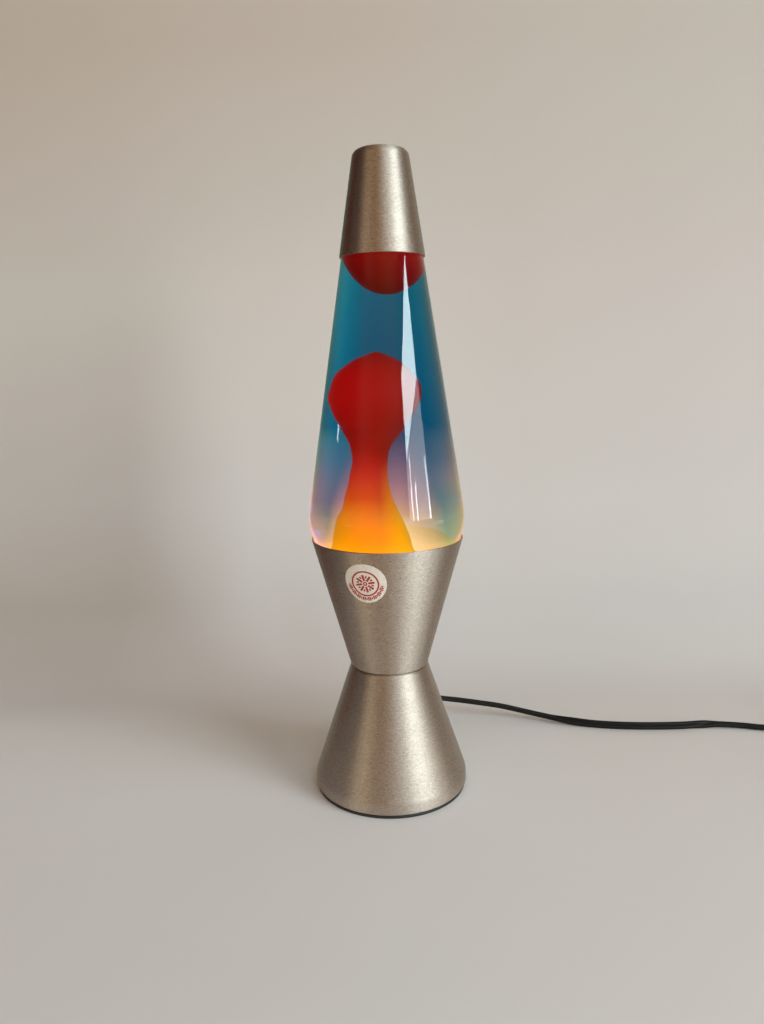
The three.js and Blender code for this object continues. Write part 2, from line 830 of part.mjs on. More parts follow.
// The space inside the bottle, inset from the glass, from its floor up to a height
function bottleInside(inset, top) {
  const side = filleted([
    [0, innerFloor + inset],
    ...glassSide(innerFloor + inset, glassWall + inset, bottleHeel),
    [0, capRimHeight + neckStart],
  ]);
  const whole = revolve(side, middleSides);
  const reach = footRadius + cutOverrun;
  const keep = rod(reach, innerFloor - cutOverrun, top, smallSides);
  return common(whole, keep);
}

// The radius inside the glass at a height
function insideRadiusAt(height) {
  return Math.min(seatRadiusAt(height, glassWall), taperRadiusAt(height, glassWall));
}

// Wax column: lumps joined from the floor to a peak. Each row has the share of the column's
// height, and shares of the glass's inner radius: the lean to the right, the half width
// across and the half depth.
const waxPeakDrop = 52.5;
const waxPeakHeight = capRimHeight - waxPeakDrop;
const waxSides = 16;
const waxColumnShares = [
  [0, -0.04, 0.76, 0.76],
  [0.055, -0.08, 0.74, 0.74],
  [0.12, -0.135, 0.61, 0.62],
  [0.189, -0.183, 0.486, 0.49],
  [0.234, -0.179, 0.427, 0.43],
  [0.294, -0.182, 0.335, 0.34],
  [0.4, -0.192, 0.244, 0.25],
  [0.543, -0.18, 0.178, 0.18],
  [0.603, -0.173, 0.211, 0.21],
  [0.633, -0.167, 0.256, 0.25],
  [0.663, -0.157, 0.33, 0.31],
  [0.694, -0.15, 0.406, 0.38],
  [0.724, -0.156, 0.484, 0.45],
  [0.769, -0.151, 0.572, 0.53],
  [0.814, -0.143, 0.629, 0.59],
  [0.859, -0.125, 0.617, 0.58],
  [0.904, -0.118, 0.525, 0.5],
  [0.942, -0.104, 0.408, 0.39],
  [0.968, -0.098, 0.285, 0.28],
  [1, -0.103, 0.03, 0.03],
];

function waxColumn(grow) {
  const base = innerFloor + seatGap;
  const rings = waxColumnShares.map(([share, lean, across, deep], i) => {
    const end = i === 0 ? -1 : 1;
    const height = THREE.MathUtils.lerp(base, waxPeakHeight, share);
    const room = insideRadiusAt(height) - seatGap;
    const lift = i === 0 || i === waxColumnShares.length - 1 ? end * grow : 0;
    return polygon(1, waxSides).map(([x, y]) => new THREE.Vector3(
      lean * room + x * (across * room + grow), y * (deep * room + grow), height + lift));
  });
  return skin(rings);
}

// Wax dome: the lump that has risen to the top of the liquid, behind the cap's rim. Its lean
// to the right and its half sizes are shares of the cap's rim radius.
const domeRise = 9.8;
const domeLeanShare = 0.126;
const domeShares = [0.816, 0.816, 1.289];
const liquidRise = 18.8;
const liquidTop = capRimHeight + liquidRise;
const domeSegments = 10;

function waxDome(grow) {
  const ball = new THREE.SphereGeometry(1, waxSides, domeSegments).rotateX(quarterTurn);
  ball.scale(...domeShares.map((share) => share * capRimRadius + grow));
  ball.translate(domeLeanShare * capRimRadius, 0, capRimHeight + domeRise);
  const room = bottleInside(grow ? 0 : 2 * seatGap, liquidTop);
  return common(ball, room);
}

// Heating coil: a wire spring bent into a ring on the bottle's floor, under the wax
const coilRingRadius = 16;
const coilCurlRadius = 3.4;
const coilWire = 0.6;
const coilCurls = 17;
const coilCurlSteps = 8;
const coilSides = 5;
const coilGapShare = 0.05;

function heatCoil() {
  const steps = coilCurls * coilCurlSteps;
  const base = innerFloor + 2 * seatGap + coilCurlRadius + coilWire;
  const points = Array.from({ length: steps + 1 }, (_, i) => {
    const curl = (fullTurn * i) / coilCurlSteps;
    const round = (fullTurn * (1 - coilGapShare) * i) / steps;
    const radius = coilRingRadius + coilCurlRadius * Math.cos(curl);
    return new THREE.Vector3(
      radius * Math.cos(round), radius * Math.sin(round), base + coilCurlRadius * Math.sin(curl));
  });
  const rings = points.map((point, i) => {
    const before = points[Math.max(i - 1, 0)];
    const after = points[Math.min(i + 1, steps)];
    const along = after.clone().sub(before).normalize();
    const centre = new THREE.Vector3(point.x, point.y, 0).setLength(coilRingRadius).setZ(base);
    const out = point.clone().sub(centre).normalize();
    const side = along.clone().cross(out).normalize();
    const lift = side.clone().cross(along);
    return polygon(coilWire, coilSides).map(([a, b]) =>
      point.clone().addScaledVector(side, -a).addScaledVector(lift, b));
  });
  console.log("heating coil, least gap between curls:", leastGap(rings, coilCurlSteps * 2).toFixed(2), "mm");
  return skin(rings);
}

// The ring-shaped room that the heating coil takes out of the wax
function heatCoilRoom() {
  const reach = coilCurlRadius + coilWire + seatGap;
  return revolve([
    [coilRingRadius - reach, innerFloor],
    [coilRingRadius + reach, innerFloor],
    [coilRingRadius + reach, innerFloor + 2 * reach + seatGap],
    [coilRingRadius - reach, innerFloor + 2 * reach + seatGap],
  ], middleSides);
}

function bottleContents() {
  const cavity = [waxColumn(seatGap), waxDome(seatGap)];
  const liquid = cut(bottleInside(seatGap, liquidTop), ...cavity);
  return [
    piece("liquid", materials.liquid, liquid),
    piece("wax_column", materials.wax, cut(waxColumn(0), heatCoilRoom())),
    piece("wax_dome", materials.wax, waxDome(0)),
    piece("heating_coil", materials.steel, heatCoil()),
  ];
}

// Crown closure: a pressed cap with 21 flutes, crimped under the bottle's bead
const crownWall = 0.4;
const crownFlutes = 21;
const crownFluteSteps = 2;
const crownFlute = 0.55;
const crownSkirt = 6;
const crownFlare = 1.2;
const linerWall = 0.9;
const crownBase = mouthHeight + linerWall + 2 * seatGap;

function crownClosure() {
  const sides = crownFlutes * crownFluteSteps;
  const ring = (radius, height, flute) =>
    Array.from({ length: sides }, (_, i) => {
      const angle = (fullTurn * i) / sides;
      const r = radius + flute * Math.cos(crownFlutes * angle);
      return new THREE.Vector3(r * Math.cos(angle), r * Math.sin(angle), height);
    });
  const skirt = crownBase - crownSkirt;
  const bead = beadRadius + seatGap;
  const flared = bead + crownFlare;
  const top = crownBase + crownWall;
  return skin([
    ring(bead - beadRound, crownBase, 0),
    ring(bead + crownWall / 2, crownBase - beadRound, 0),
    ring(flared, skirt, crownFlute),
    ring(flared + crownWall, skirt, crownFlute),
    ring(bead + crownWall * 2, crownBase - beadRound, 0),
    ring(bead - beadRound / 2, top, 0),
  ]);
}

function crownLiner() {
  return rod(beadRadius - beadRound, mouthHeight + seatGap, mouthHeight + seatGap + linerWall, middleSides);
}

// Lamp cap: the spun cone that drops over the bottle's neck
const capFillet = 4.6;

function lampCap() {
  const line = filleted([
    [capRimRadius, capRimHeight],
    [capTopRadius, totalHeight, capFillet, fineSteps],
    [0, totalHeight],
  ]);
  return sheet(line, capWall);
}

// Flat lead: two cores side by side, with a groove between them
const cordWidth = 5.4;
const cordThickness = 2.7;
const cordSectionShares = [
  [0.5, 0], [0.36, 0.48], [0, 0.36], [-0.36, 0.48], [-0.5, 0], [-0.36, -0.48], [0, -0.36], [0.36, -0.48],
];
const coilSectionShares = [[0.5, 0], [0.3, 0.5], [-0.3, 0.5], [-0.5, 0], [-0.3, -0.5], [0.3, -0.5]];
const sized = (shares) => shares.map(([a, b]) => [a * cordWidth, b * cordThickness]);

// Where the lead lies behind the lamp: it droops from the boot to the table and runs right
const leadRoute = [
  [24.6, 73.5, 21.6],
  [30, 80, 19],
  [38, 83.8, 16],
  [49.8, 84.8, 14],
  [64.9, 83.9, 12],
  [79.3, 83.1, 9.8],
  [93.4, 80.6, 7.3],
  [107.2, 77.4, 5],
  [123.7, 71.4, 3.6],
  [140.2, 66.4, 3],
  [160, 63, 2.8],
  [181, 61.4, 2.8],
  [201.5, 61.4, 2.8],
  [216, 63, 2.6],
  [228, 63.5, 2.4],
  [243.5, 61.8, 2.1],
  [259, 57.6, 2.1],
  [274, 56.2, 2.3],
  [287, 57.1, 3.8],
];
const leadSteps = 27;

// In-line switch: two halves that clip the lead, with a rocker that stands on its pin
const switchPlace = [328, 58, 0];
const switchLength = 58;
const switchWidth = 22;
const switchEndWidth = 9.4;
const switchEndHeight = 9.2;
const switchHeight = 14.6;
const switchSplit = 6.6;
const switchTaper = 11;
const cordHeight = 5.4;
const wellLength = 18;
const wellWidth = 11.6;
const wellFloor = 8.4;
const pivotHeight = 12.2;
const pinRadius = 1;
const pinLength = 15;
const rockerTilt = 10 * degree;
const switchScrewPlace = 17.5;
const switchScrewRadius = 1.2;
const switchScrewHead = 2.4;
const switchScrewSink = 2.2;
const switchScrewLength = 9;

function switchShape() {
  const half = switchLength / 2;
  const shoulder = half - switchTaper;
  const wide = switchWidth / 2;
  const narrow = switchEndWidth / 2;
  const plan = filleted([
    [0, -wide], [shoulder, -wide, switchTaper], [half, -narrow, narrow / 2], [half, narrow, narrow / 2],
    [shoulder, wide, switchTaper], [-shoulder, wide, switchTaper], [-half, narrow, narrow / 2],
    [-half, -narrow, narrow / 2], [-shoulder, -wide, switchTaper], [0, -wide],
  ]).slice(1);
  const side = filleted([
    [0, 0], [half, 0], [half, switchEndHeight], [shoulder, switchHeight, switchTaper],
    [-shoulder, switchHeight, switchTaper], [-half, switchEndHeight], [-half, 0], [0, 0],
  ]).slice(1);
  return common(slab(plan, 0, switchHeight), sideSlab(side, switchWidth));
}

function switchParts() {
  const whole = switchShape();
  const reach = switchLength + cutOverrun;
  const slice = (from, to) => box(reach, reach, to - from).translate(0, 0, (from + to) / 2);
  const well = slice(wellFloor, switchHeight + cutOverrun).scale(wellLength / reach, wellWidth / reach, 1);
  const pinBore = rod(pinRadius + seatGap, -pinLength / 2 - seatGap, pinLength / 2 + seatGap);
  pinBore.rotateX(quarterTurn).translate(0, 0, pivotHeight);
  const screwPlaces = [switchScrewPlace, -switchScrewPlace];
  const screwTop = switchScrewSink + switchScrewLength;
  const bores = screwPlaces.map((x) =>
    revolve([
      [0, -cutOverrun],
      [switchScrewHead + seatGap, -cutOverrun],
      [switchScrewHead + seatGap, switchScrewSink],
      [switchScrewRadius + seatGap, switchScrewSink],
      [switchScrewRadius + seatGap, screwTop + seatGap],
      [0, screwTop + seatGap],
    ], smallSides).translate(x, 0, 0),
  );
  const upper = common(whole, slice(switchSplit + seatGap, switchHeight + cutOverrun));
  const lower = common(whole, slice(-cutOverrun, switchSplit));
  const screwLine = [
    [0, seatGap],
    [switchScrewHead, seatGap],
    [switchScrewHead, switchScrewSink - seatGap],
    [switchScrewRadius, switchScrewSink - seatGap],
    [switchScrewRadius, screwTop],
    [0, screwTop],
  ];
  const screws = screwPlaces.map((x, i) =>
    piece(`switch_screw_${i + 1}`, materials.steel, revolve(screwLine, smallSides), [x, 0, 0]));
  const pin = rod(pinRadius, -pinLength / 2, pinLength / 2).rotateX(quarterTurn);
  const rocker = piece("switch_rocker", materials.blackPlastic, switchRocker(), [0, 0, pivotHeight]);
  rocker.rotation.y = rockerTilt;
  const made = group(
    piece("switch_upper_half", materials.blackPlastic, cut(upper, well, pinBore, ...bores)),
    piece("switch_lower_half", materials.blackPlastic, cut(lower, ...bores)),
    piece("rocker_pin", materials.steel, pin, [0, 0, pivotHeight]),
    rocker,
    ...screws,
  );
  made.position.set(...switchPlace);
  return made;
}

const rockerRise = 2.7;
const rockerDip = 1.7;
const rockerBelly = 2.8;
const rockerHeel = 1.2;
const rockerSlack = 0.5;

function switchRocker() {
  const half = wellLength / 2 - rockerSlack;
  const outline = filleted([
    [0, -rockerBelly], [half / 2, -rockerBelly, rockerHeel],
    [half - rockerHeel / 2, -rockerHeel, rockerHeel / 2], [half, rockerRise, rockerHeel / 2],
    [0, rockerDip, half], [-half, rockerRise, rockerHeel / 2],
    [-half + rockerHeel / 2, -rockerHeel, rockerHeel / 2], [-half / 2, -rockerBelly, rockerHeel],
    [0, -rockerBelly],
  ]).slice(1);
  const width = wellWidth - 2 * seatGap;
  const bore = rod(pinRadius + seatGap, -width, width).rotateX(quarterTurn);
  return cut(sideSlab(outline, width), bore);
}

// The bend from the switch round to the coil
const coilApproach = [
  [370, 56, 5],
  [379, 51, 4.5],
  [385.5, 43.5, 4],
];

// Coil: the rest of the lead, wound on edge in two layers beside the switch
const coilPlace = [352, 4];
const coilOuterRadius = 37;
const coilPitch = 4.1;
const coilLayerPitch = 6.6;
const coilLift = 0.8;
const coilTurns = 7.25;
const coilReverse = coilTurns / 2;
const climbTurns = 0.5;
const coilTail = 26;
const coilTailSteps = 5;
const loopSteps = 24;

// The place on the coil after a number of turns, which run clockwise from its right side
function coilPoint(turns) {
  const level = coilLift + cordWidth / 2;
  const climb = THREE.MathUtils.smoothstep(turns, coilReverse - climbTurns / 2, coilReverse + climbTurns / 2);
  const radius = coilOuterRadius - coilPitch * (coilReverse - Math.abs(turns - coilReverse));
  const angle = -fullTurn * turns;
  return new THREE.Vector3(
    coilPlace[0] + radius * Math.cos(angle),
    coilPlace[1] + radius * Math.sin(angle),
    level + coilLayerPitch * climb,
  );
}

// The heading of the coil's line after a number of turns
function coilHeading(turns) {
  const step = 1 / (loopSteps * 4);
  return coilPoint(turns + step).sub(coilPoint(turns - step)).normalize();
}

// The coil's line: a straight tail, where the lead turns on edge, the turns, and another tail
function coilPoints() {
  const steps = Math.round(coilTurns * loopSteps);
  const round = Array.from({ length: steps + 1 }, (_, i) => coilPoint((coilTurns * i) / steps));
  const tails = Array.from({ length: coilTailSteps }, (_, i) => (coilTail * (i + 1)) / coilTailSteps);
  const tail = (end, distance) => coilPoint(end).addScaledVector(coilHeading(end), distance);
  const before = tails.map((distance) => tail(0, -distance));
  const after = tails.map((distance) => tail(coilTurns, distance));
  return [...before.reverse(), ...round, ...after];
}

function leadCoil() {
  const points = coilPoints();
  const last = points.length - 1;
  const onEdge = (i) => quarterTurn * THREE.MathUtils.smoothstep(Math.min(i, last - i), 1, coilTailSteps);
  const geometry = woundTube(points, sized(coilSectionShares), onEdge);
  const corners = coilSectionShares.length;
  const position = geometry.getAttribute("position");
  const corner = (i, k) => new THREE.Vector3().fromBufferAttribute(position, i * corners + k);
  const rings = points.map((_, i) => Array.from({ length: corners }, (_, k) => corner(i, k)));
  console.log("lead coil, least gap between turns:", leastGap(rings, loopSteps).toFixed(2), "mm");
  return geometry;
}

// Tie: a strap round the bundle of turns
const tieWall = 0.5;
const tieWidth = 5;
const tieTurn = 150 * degree;

function cordTie() {
  const inner = coilOuterRadius - coilPitch * coilReverse - cordThickness / 2 - seatGap;
  const outer = coilOuterRadius + cordThickness / 2 + seatGap;
  const top = coilLift + cordWidth + coilLayerPitch + seatGap;
  const bottom = coilLift - seatGap;
  const middle = (inner + outer) / 2;
  const band = box(outer - inner + 2 * tieWall, tieWidth, top - bottom + 2 * tieWall);
  const room = box(outer - inner, tieWidth + cutOverrun, top - bottom);
  const tie = cut(band, room).translate(middle, 0, (top + bottom) / 2).rotateZ(tieTurn);
  return tie.translate(...coilPlace, 0);
}

// Plug: a moulded body with finger grips and two flat blades, one wider than the other
const plugLength = 29;
const plugWidth = 23;
const plugHeight = 15.4;
const plugTailWidth = 8.4;
const plugTailHeight = 6.8;
const plugTail = 8;
const plugRound = 5;
const plugGap = 46;
const bladeSpacing = 12.7;
const bladeWall = 1.5;
const bladeReach = 16.5;
const bladeRoot = 4;
const bladeHole = 1.5;
const bladeHolePlace = 12.5;
const bladeWidths = { live: 6.3, neutral: 7.9 };
const gripCount = 3;
const gripPitch = 3.4;
const gripDepth = 0.7;

function plugParts() {
  const wide = plugWidth / 2;
  const tail = plugTailWidth / 2;
  const neck = -plugLength + plugTail;
  const middle = plugHeight / 2;
  const low = (plugHeight - plugTailHeight) / 2;
  const plan = filleted([
    [-plugRound, -wide], [0, -wide + plugRound / 4], [0, wide - plugRound / 4], [-plugRound, wide, plugRound],
    [neck / 2, wide, plugRound], [neck, tail, plugRound], [-plugLength, tail], [-plugLength, -tail],
    [neck, -tail, plugRound], [neck / 2, -wide, plugRound], [-plugRound, -wide],
  ]).slice(1);
  const side = filleted([
    [-plugRound, 0], [0, plugRound / 4], [0, plugHeight - plugRound / 4], [-plugRound, plugHeight, plugRound],
    [neck / 2, plugHeight, plugRound], [neck, plugHeight - low, plugRound], [-plugLength, plugHeight - low],
    [-plugLength, low], [neck, low, plugRound], [neck / 2, 0, plugRound], [-plugRound, 0],
  ]).slice(1);
  const grips = [1, -1].flatMap((face) =>
    Array.from({ length: gripCount }, (_, i) =>
      box(gripPitch / 2, 2 * gripDepth, plugHeight / 2)
        .translate(-plugRound - gripPitch * i, face * wide, middle)));
  const slots = Object.entries(bladeWidths).map(([name, width]) => {
    const y = name === "live" ? bladeSpacing / 2 : -bladeSpacing / 2;
    const slot = box(2 * (bladeRoot + seatGap), bladeWall + 2 * seatGap, width + 2 * seatGap);
    return slot.translate(0, y, middle);
  });
  const body = cut(common(slab(plan, 0, plugHeight), sideSlab(side, plugWidth)), ...grips, ...slots);
  const blades = Object.entries(bladeWidths).map(([name, width]) => {
    const y = name === "live" ? bladeSpacing / 2 : -bladeSpacing / 2;
    const blade = box(bladeRoot + bladeReach, bladeWall, width).translate((bladeReach - bladeRoot) / 2, 0, 0);
    const hole = rod(bladeHole, -bladeWall, bladeWall).rotateX(quarterTurn).translate(bladeHolePlace, 0, 0);
    return piece(`plug_blade_${name}`, materials.brass, cut(blade, hole), [0, y, middle]);
  });
  const heading = coilHeading(coilTurns);
  const place = coilPoint(coilTurns).addScaledVector(heading, plugGap + plugLength);
  const made = group(piece("plug_body", materials.blackPlastic, body), ...blades);
  made.position.set(place.x, place.y, 0);
  made.rotation.z = Math.atan2(heading.y, heading.x);
  return made;
}

// Free stretches of the lead, which end face to face with what they meet
function leadStretches() {
  const half = switchLength / 2 + seatGap;
  const [sx, sy] = switchPlace;
  const boot = exitPoint(bootLength + seatGap);
  const bootAhead = exitPoint(bootLength + seatGap + cordWidth);
  const toSwitch = [
    boot, bootAhead, ...leadRoute,
    [sx - half - cordWidth, sy, cordHeight], [sx - half, sy, cordHeight],
  ];
  const tail = coilTail + seatGap;
  const onTail = (end, distance) =>
    coilPoint(end).addScaledVector(coilHeading(end), distance).toArray();
  const toCoil = [
    [sx + half, sy, cordHeight], [sx + half + cordWidth, sy, cordHeight],
    ...coilApproach, onTail(0, -tail - cordWidth), onTail(0, -tail),
  ];
  const atPlugHeight = ([x, y]) => [x, y, plugHeight / 2];
  const toPlug = [
    onTail(coilTurns, tail), onTail(coilTurns, tail + cordWidth),
    atPlugHeight(onTail(coilTurns, plugGap - seatGap - cordWidth)),
    atPlugHeight(onTail(coilTurns, plugGap - seatGap)),
  ];
  const stretch = (name, places, steps) =>
    piece(name, materials.cordVinyl, tubeAlong(new LevelCurve(places), sized(cordSectionShares), steps));
  return [
    stretch("lead_to_switch", toSwitch, leadSteps),
    stretch("lead_to_coil", toCoil, leadSteps / 3),
    stretch("lead_to_plug", toPlug, leadSteps / 9),
  ];
}

const base = group(
  piece("foot_ring", materials.blackPlastic, footRing()),
  piece("bottom_cover", materials.blackPlastic, bottomCover()),
  piece("lower_cone", materials.aluminium, lowerCone()),
  piece("upper_cup", materials.aluminium, upperCup()),
  piece("socket_bracket", materials.steel, socketBracket()),
  ...waistRivets(),
  piece("socket_body", materials.phenolic, socketBody()),
  piece("socket_screw_shell", materials.brass, socketShell()),
  piece("centre_contact", materials.brass, centreContact()),
  piece("centre_stud", materials.steel, rod(studRadius, coverLift + seatGap, studTop)),
  piece("bottom_nut", materials.steel, nut(dishHeight - seatGap - nutHeight)),
  piece("bracket_nut", materials.steel, nut(bracketFoot - seatGap - nutHeight)),
  ...terminalScrews(),
  ...cores(),
  piece("cord_boot", materials.blackPlastic, cordBoot()),
  piece("round_sticker", materials.sticker, roundSticker()),
);
const globe = group(
  piece("glass_bottle", materials.glass, glassBottle()),
  ...bottleContents(),
  piece("crown_closure", materials.tinPlate, crownClosure()),
  piece("crown_liner", materials.liner, crownLiner()),
);
const lead = group(
  ...leadStretches(),
  switchParts(),
  piece("lead_coil", materials.cordVinyl, leadCoil()),
  piece("lead_tie", materials.blackPlastic, cordTie()),
  plugParts(),
);

const bulb = group(...bulbParts());
const cap = piece("lamp_cap", materials.aluminium, lampCap());

export default group(base, bulb, globe, cap, lead);
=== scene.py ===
from math import asin, atan, atan2, cos, hypot, pi, radians, sin, tan

import bmesh
import bpy
from mathutils import Matrix, Vector, noise


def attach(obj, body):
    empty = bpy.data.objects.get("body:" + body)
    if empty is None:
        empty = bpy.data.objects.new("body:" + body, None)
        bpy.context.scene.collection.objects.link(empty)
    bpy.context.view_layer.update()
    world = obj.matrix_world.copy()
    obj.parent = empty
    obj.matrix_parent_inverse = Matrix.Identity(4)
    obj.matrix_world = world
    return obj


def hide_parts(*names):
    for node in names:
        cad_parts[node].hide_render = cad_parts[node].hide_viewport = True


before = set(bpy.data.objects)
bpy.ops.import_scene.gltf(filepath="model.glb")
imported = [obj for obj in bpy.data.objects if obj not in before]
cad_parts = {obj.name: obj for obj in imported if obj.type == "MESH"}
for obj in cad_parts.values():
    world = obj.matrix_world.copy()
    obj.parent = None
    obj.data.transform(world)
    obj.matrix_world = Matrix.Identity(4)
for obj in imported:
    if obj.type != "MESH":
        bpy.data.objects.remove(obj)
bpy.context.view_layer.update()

# Driving sizes, as in the solids
FOOT_RADIUS = 0.046
WAIST_RADIUS = 0.0231
WAIST_HEIGHT = 0.0773
CUP_RIM_RADIUS = 0.0443
CUP_RIM_HEIGHT = 0.1544
CAP_RIM_RADIUS = 0.0239
CAP_RIM_HEIGHT = 0.3122
CAP_TOP_RADIUS = 0.0151
TOTAL_HEIGHT = 0.368
SHELL_WALL = 0.001
CAP_WALL = 0.0008
GLASS_WALL = 0.0026
SEAT_GAP = 0.0003
LIP = 0.0003
FOOT_SHOULDER = 0.009
CONE_SLOPE = (FOOT_RADIUS - WAIST_RADIUS) / (WAIST_HEIGHT - FOOT_SHOULDER)
CONE_TILT = atan(CONE_SLOPE)
CUP_SLOPE = (CUP_RIM_RADIUS - WAIST_RADIUS) / (CUP_RIM_HEIGHT - WAIST_HEIGHT)
CAP_SLOPE = (CAP_RIM_RADIUS - CAP_TOP_RADIUS) / (TOTAL_HEIGHT - CAP_RIM_HEIGHT)
CUP_LEAN = hypot(1, CUP_SLOPE)
CAP_LEAN = hypot(1, CAP_SLOPE)


def cup_radius(height):
    return WAIST_RADIUS + CUP_SLOPE * (height - WAIST_HEIGHT)


def cap_radius(height):
    return CAP_RIM_RADIUS - CAP_SLOPE * (height - CAP_RIM_HEIGHT)


def cone_radius(height):
    return WAIST_RADIUS + CONE_SLOPE * (WAIST_HEIGHT - height)


ROUND_SIDES = 128
SMALL_SIDES = 48
FULL_TURN = 2 * pi
# Edges with a sharper angle stay sharp: on most shapes, on thin ones and on round ones
SMOOTH_ANGLE = radians(35)
THIN_SMOOTH = radians(50)
ROUND_SMOOTH = radians(60)
UP = Vector((0, 0, 1))
FILLET_ROOM_SHARE = 0.49
JOIN_DISTANCE = 1e-6
FLAT_ANGLE = radians(0.5)
BEVEL_ANGLE = radians(30)


# Camera, at the photograph's viewing angle
CAMERA_PLACE = Vector((0, -0.46046, 0.25398))
CAMERA_PITCH = radians(10.445)
CAMERA_ROLL = radians(-1.0955)
CAMERA_YAW = radians(-0.3476)
CAMERA_LENS = 28.125
CAMERA_NEAR = 0.01


def add_camera():
    made = bpy.data.objects.new("camera", bpy.data.cameras.new("camera"))
    made.data.lens = CAMERA_LENS
    made.data.clip_start = CAMERA_NEAR
    turned = Matrix.Rotation(-CAMERA_YAW, 4, "Z") @ Matrix.Rotation(pi / 2 - CAMERA_PITCH, 4, "X")
    rolled = turned @ Matrix.Rotation(CAMERA_ROLL, 4, "Z")
    made.matrix_world = Matrix.Translation(CAMERA_PLACE) @ rolled
    bpy.context.scene.collection.objects.link(made)
    bpy.context.scene.camera = made


# Shapes
def around(count):
    """The angles of a full turn, taken in that many steps."""
    return [FULL_TURN * k / count for k in range(count)]


def rounded(corners, steps=6, closed=False):
    """An outline with its corners rounded. A corner is (x, y) or (x, y, radius of its round)."""
    points = []
    for i, (x, y, *fillet) in enumerate(corners):
        at_end = not closed and i in (0, len(corners) - 1)
        if not fillet or at_end:
            points.append((x, y))
            continue
        corner = Vector((x, y))
        back = Vector(corners[i - 1][:2]) - corner
        ahead = Vector(corners[(i + 1) % len(corners)][:2]) - corner
        half = back.angle(ahead) / 2
        room = FILLET_ROOM_SHARE * min(back.length, ahead.length)
        reach = min(fillet[0] / tan(half), room)
        back.normalize()
        ahead.normalize()
        centre = corner + (back + ahead).normalized() * (reach / cos(half))
        start = corner + back * reach - centre
        end = corner + ahead * reach - centre
        sweep = atan2(start.x * end.y - start.y * end.x, start.dot(end))
        for k in range(steps + 1):
            turned = Matrix.Rotation(sweep * k / steps, 2) @ start
            points.append(tuple(centre + turned))
    return points


def offset_line(line, distance):
    """The line moved to its left: inwards, for a line that climbs outside."""
    places = [Vector(p) for p in line]
    lefts = []
    for a, b in zip(places, places[1:]):
        along = (b - a).normalized()
        lefts.append(Vector((-along.y, along.x)))
    moved = []
    for i, place in enumerate(places):
        before = lefts[max(i - 1, 0)]
        after = lefts[min(i, len(lefts) - 1)]
        mitre = (before + after).normalized()
        moved.append(tuple(place + mitre * (distance / mitre.dot(after))))
    return moved


def lipped_sheet(line, wall=SHELL_WALL, steps=6):
    """The closed outline of a spun sheet, from its outside corners, with rounded lips."""
    outside = rounded(line, steps)
    inside = offset_line(outside, wall)[::-1]
    if outside[-1][0] == 0:
        inside[0] = (0, inside[0][1])
    ends = {inside[0], inside[-1], outside[0], outside[-1]}
    corners = [(*p, LIP) if p in ends and p[0] > 0 else p for p in inside + outside]
    return rounded(corners, 3, closed=True)


def revolve(outline, sides=ROUND_SIDES):
    """Vertices and faces of an outline of (radius, height) turned round the Z axis."""
    on_axis = outline[0][0] == 0 and outline[-1][0] == 0
    verts = []
    rings = []
    for radius, height in outline:
        first = len(verts)
        if radius == 0:
            verts.append((0, 0, height))
            rings.append([first] * sides)
            continue
        verts += [(radius * cos(angle), radius * sin(angle), height) for angle in around(sides)]
        rings.append(list(range(first, first + sides)))
    faces = []
    pairs = list(zip(rings, rings[1:])) + ([] if on_axis else [(rings[-1], rings[0])])
    for low, high in pairs:
        for i in range(sides):
            j = (i + 1) % sides
            face = list(dict.fromkeys((low[i], low[j], high[j], high[i])))
            if len(face) > 2:
                faces.append(face)
    return verts, faces


def skin(rings):
    """Vertices and faces of the surface through rings of points, with a cap at each end."""
    sides = len(rings[0])
    last = (len(rings) - 1) * sides
    verts = [tuple(p) for ring in rings for p in ring]
    faces = []
    for low in range(0, last, sides):
        high = low + sides
        for i in range(sides):
            j = (i + 1) % sides
            faces.append((low + i, low + j, high + j, high + i))
    faces.append(tuple(reversed(range(sides))))
    faces.append(tuple(range(last, last + sides)))
    return verts, faces


def centripetal(p0, p1, p2, p3, share):
    """The point between p1 and p2 on a centripetal Catmull-Rom curve."""
    pairs = ((p0, p1), (p1, p2), (p2, p3))
    d0, d1, d2 = (max((b - a).length, JOIN_DISTANCE) ** 0.5 for a, b in pairs)
    t1 = ((p1 - p0) / d0 - (p2 - p0) / (d0 + d1) + (p2 - p1) / d1) * d1
    t2 = ((p2 - p1) / d1 - (p3 - p1) / (d1 + d2) + (p3 - p2) / d2) * d1
    c2 = (p2 - p1) * 3 - t1 * 2 - t2
    c3 = (p1 - p2) * 2 + t1 + t2
    return p1 + t1 * share + c2 * share**2 + c3 * share**3


def smoothed(places, count_between):
    """Points on the smooth curve through the places, that many from each place to the next."""
    ends = [places[0] * 2 - places[1], *places, places[-1] * 2 - places[-2]]
    points = []
    for p0, p1, p2, p3 in zip(ends, ends[1:], ends[2:], ends[3:]):
        count = count_between(p1, p2)
        points += [centripetal(p0, p1, p2, p3, k / count) for k in range(count)]
    return [*points, places[-1]]


def smooth_line(places, step):
    """Points about a step apart on the smooth curve through the places."""
    return smoothed([Vector(p) for p in places], lambda a, b: max(2, round((b - a).length / step)))


def tube(points, section, roll=lambda i: 0):
    """Rings of a tube along close points. The section of (across, up) turns by roll(i)."""
    rings = []
    last = len(points) - 1
    for i, point in enumerate(points):
        along = (points[min(i + 1, last)] - points[max(i - 1, 0)]).normalized()
        across = UP.cross(along).normalized()
        above = along.cross(across)
        turn = roll(i)
        ring = []
        for a, b in section:
            u = a * cos(turn) - b * sin(turn)
            v = a * sin(turn) + b * cos(turn)
            ring.append(point + across * u + above * v)
        rings.append(ring)
    return rings


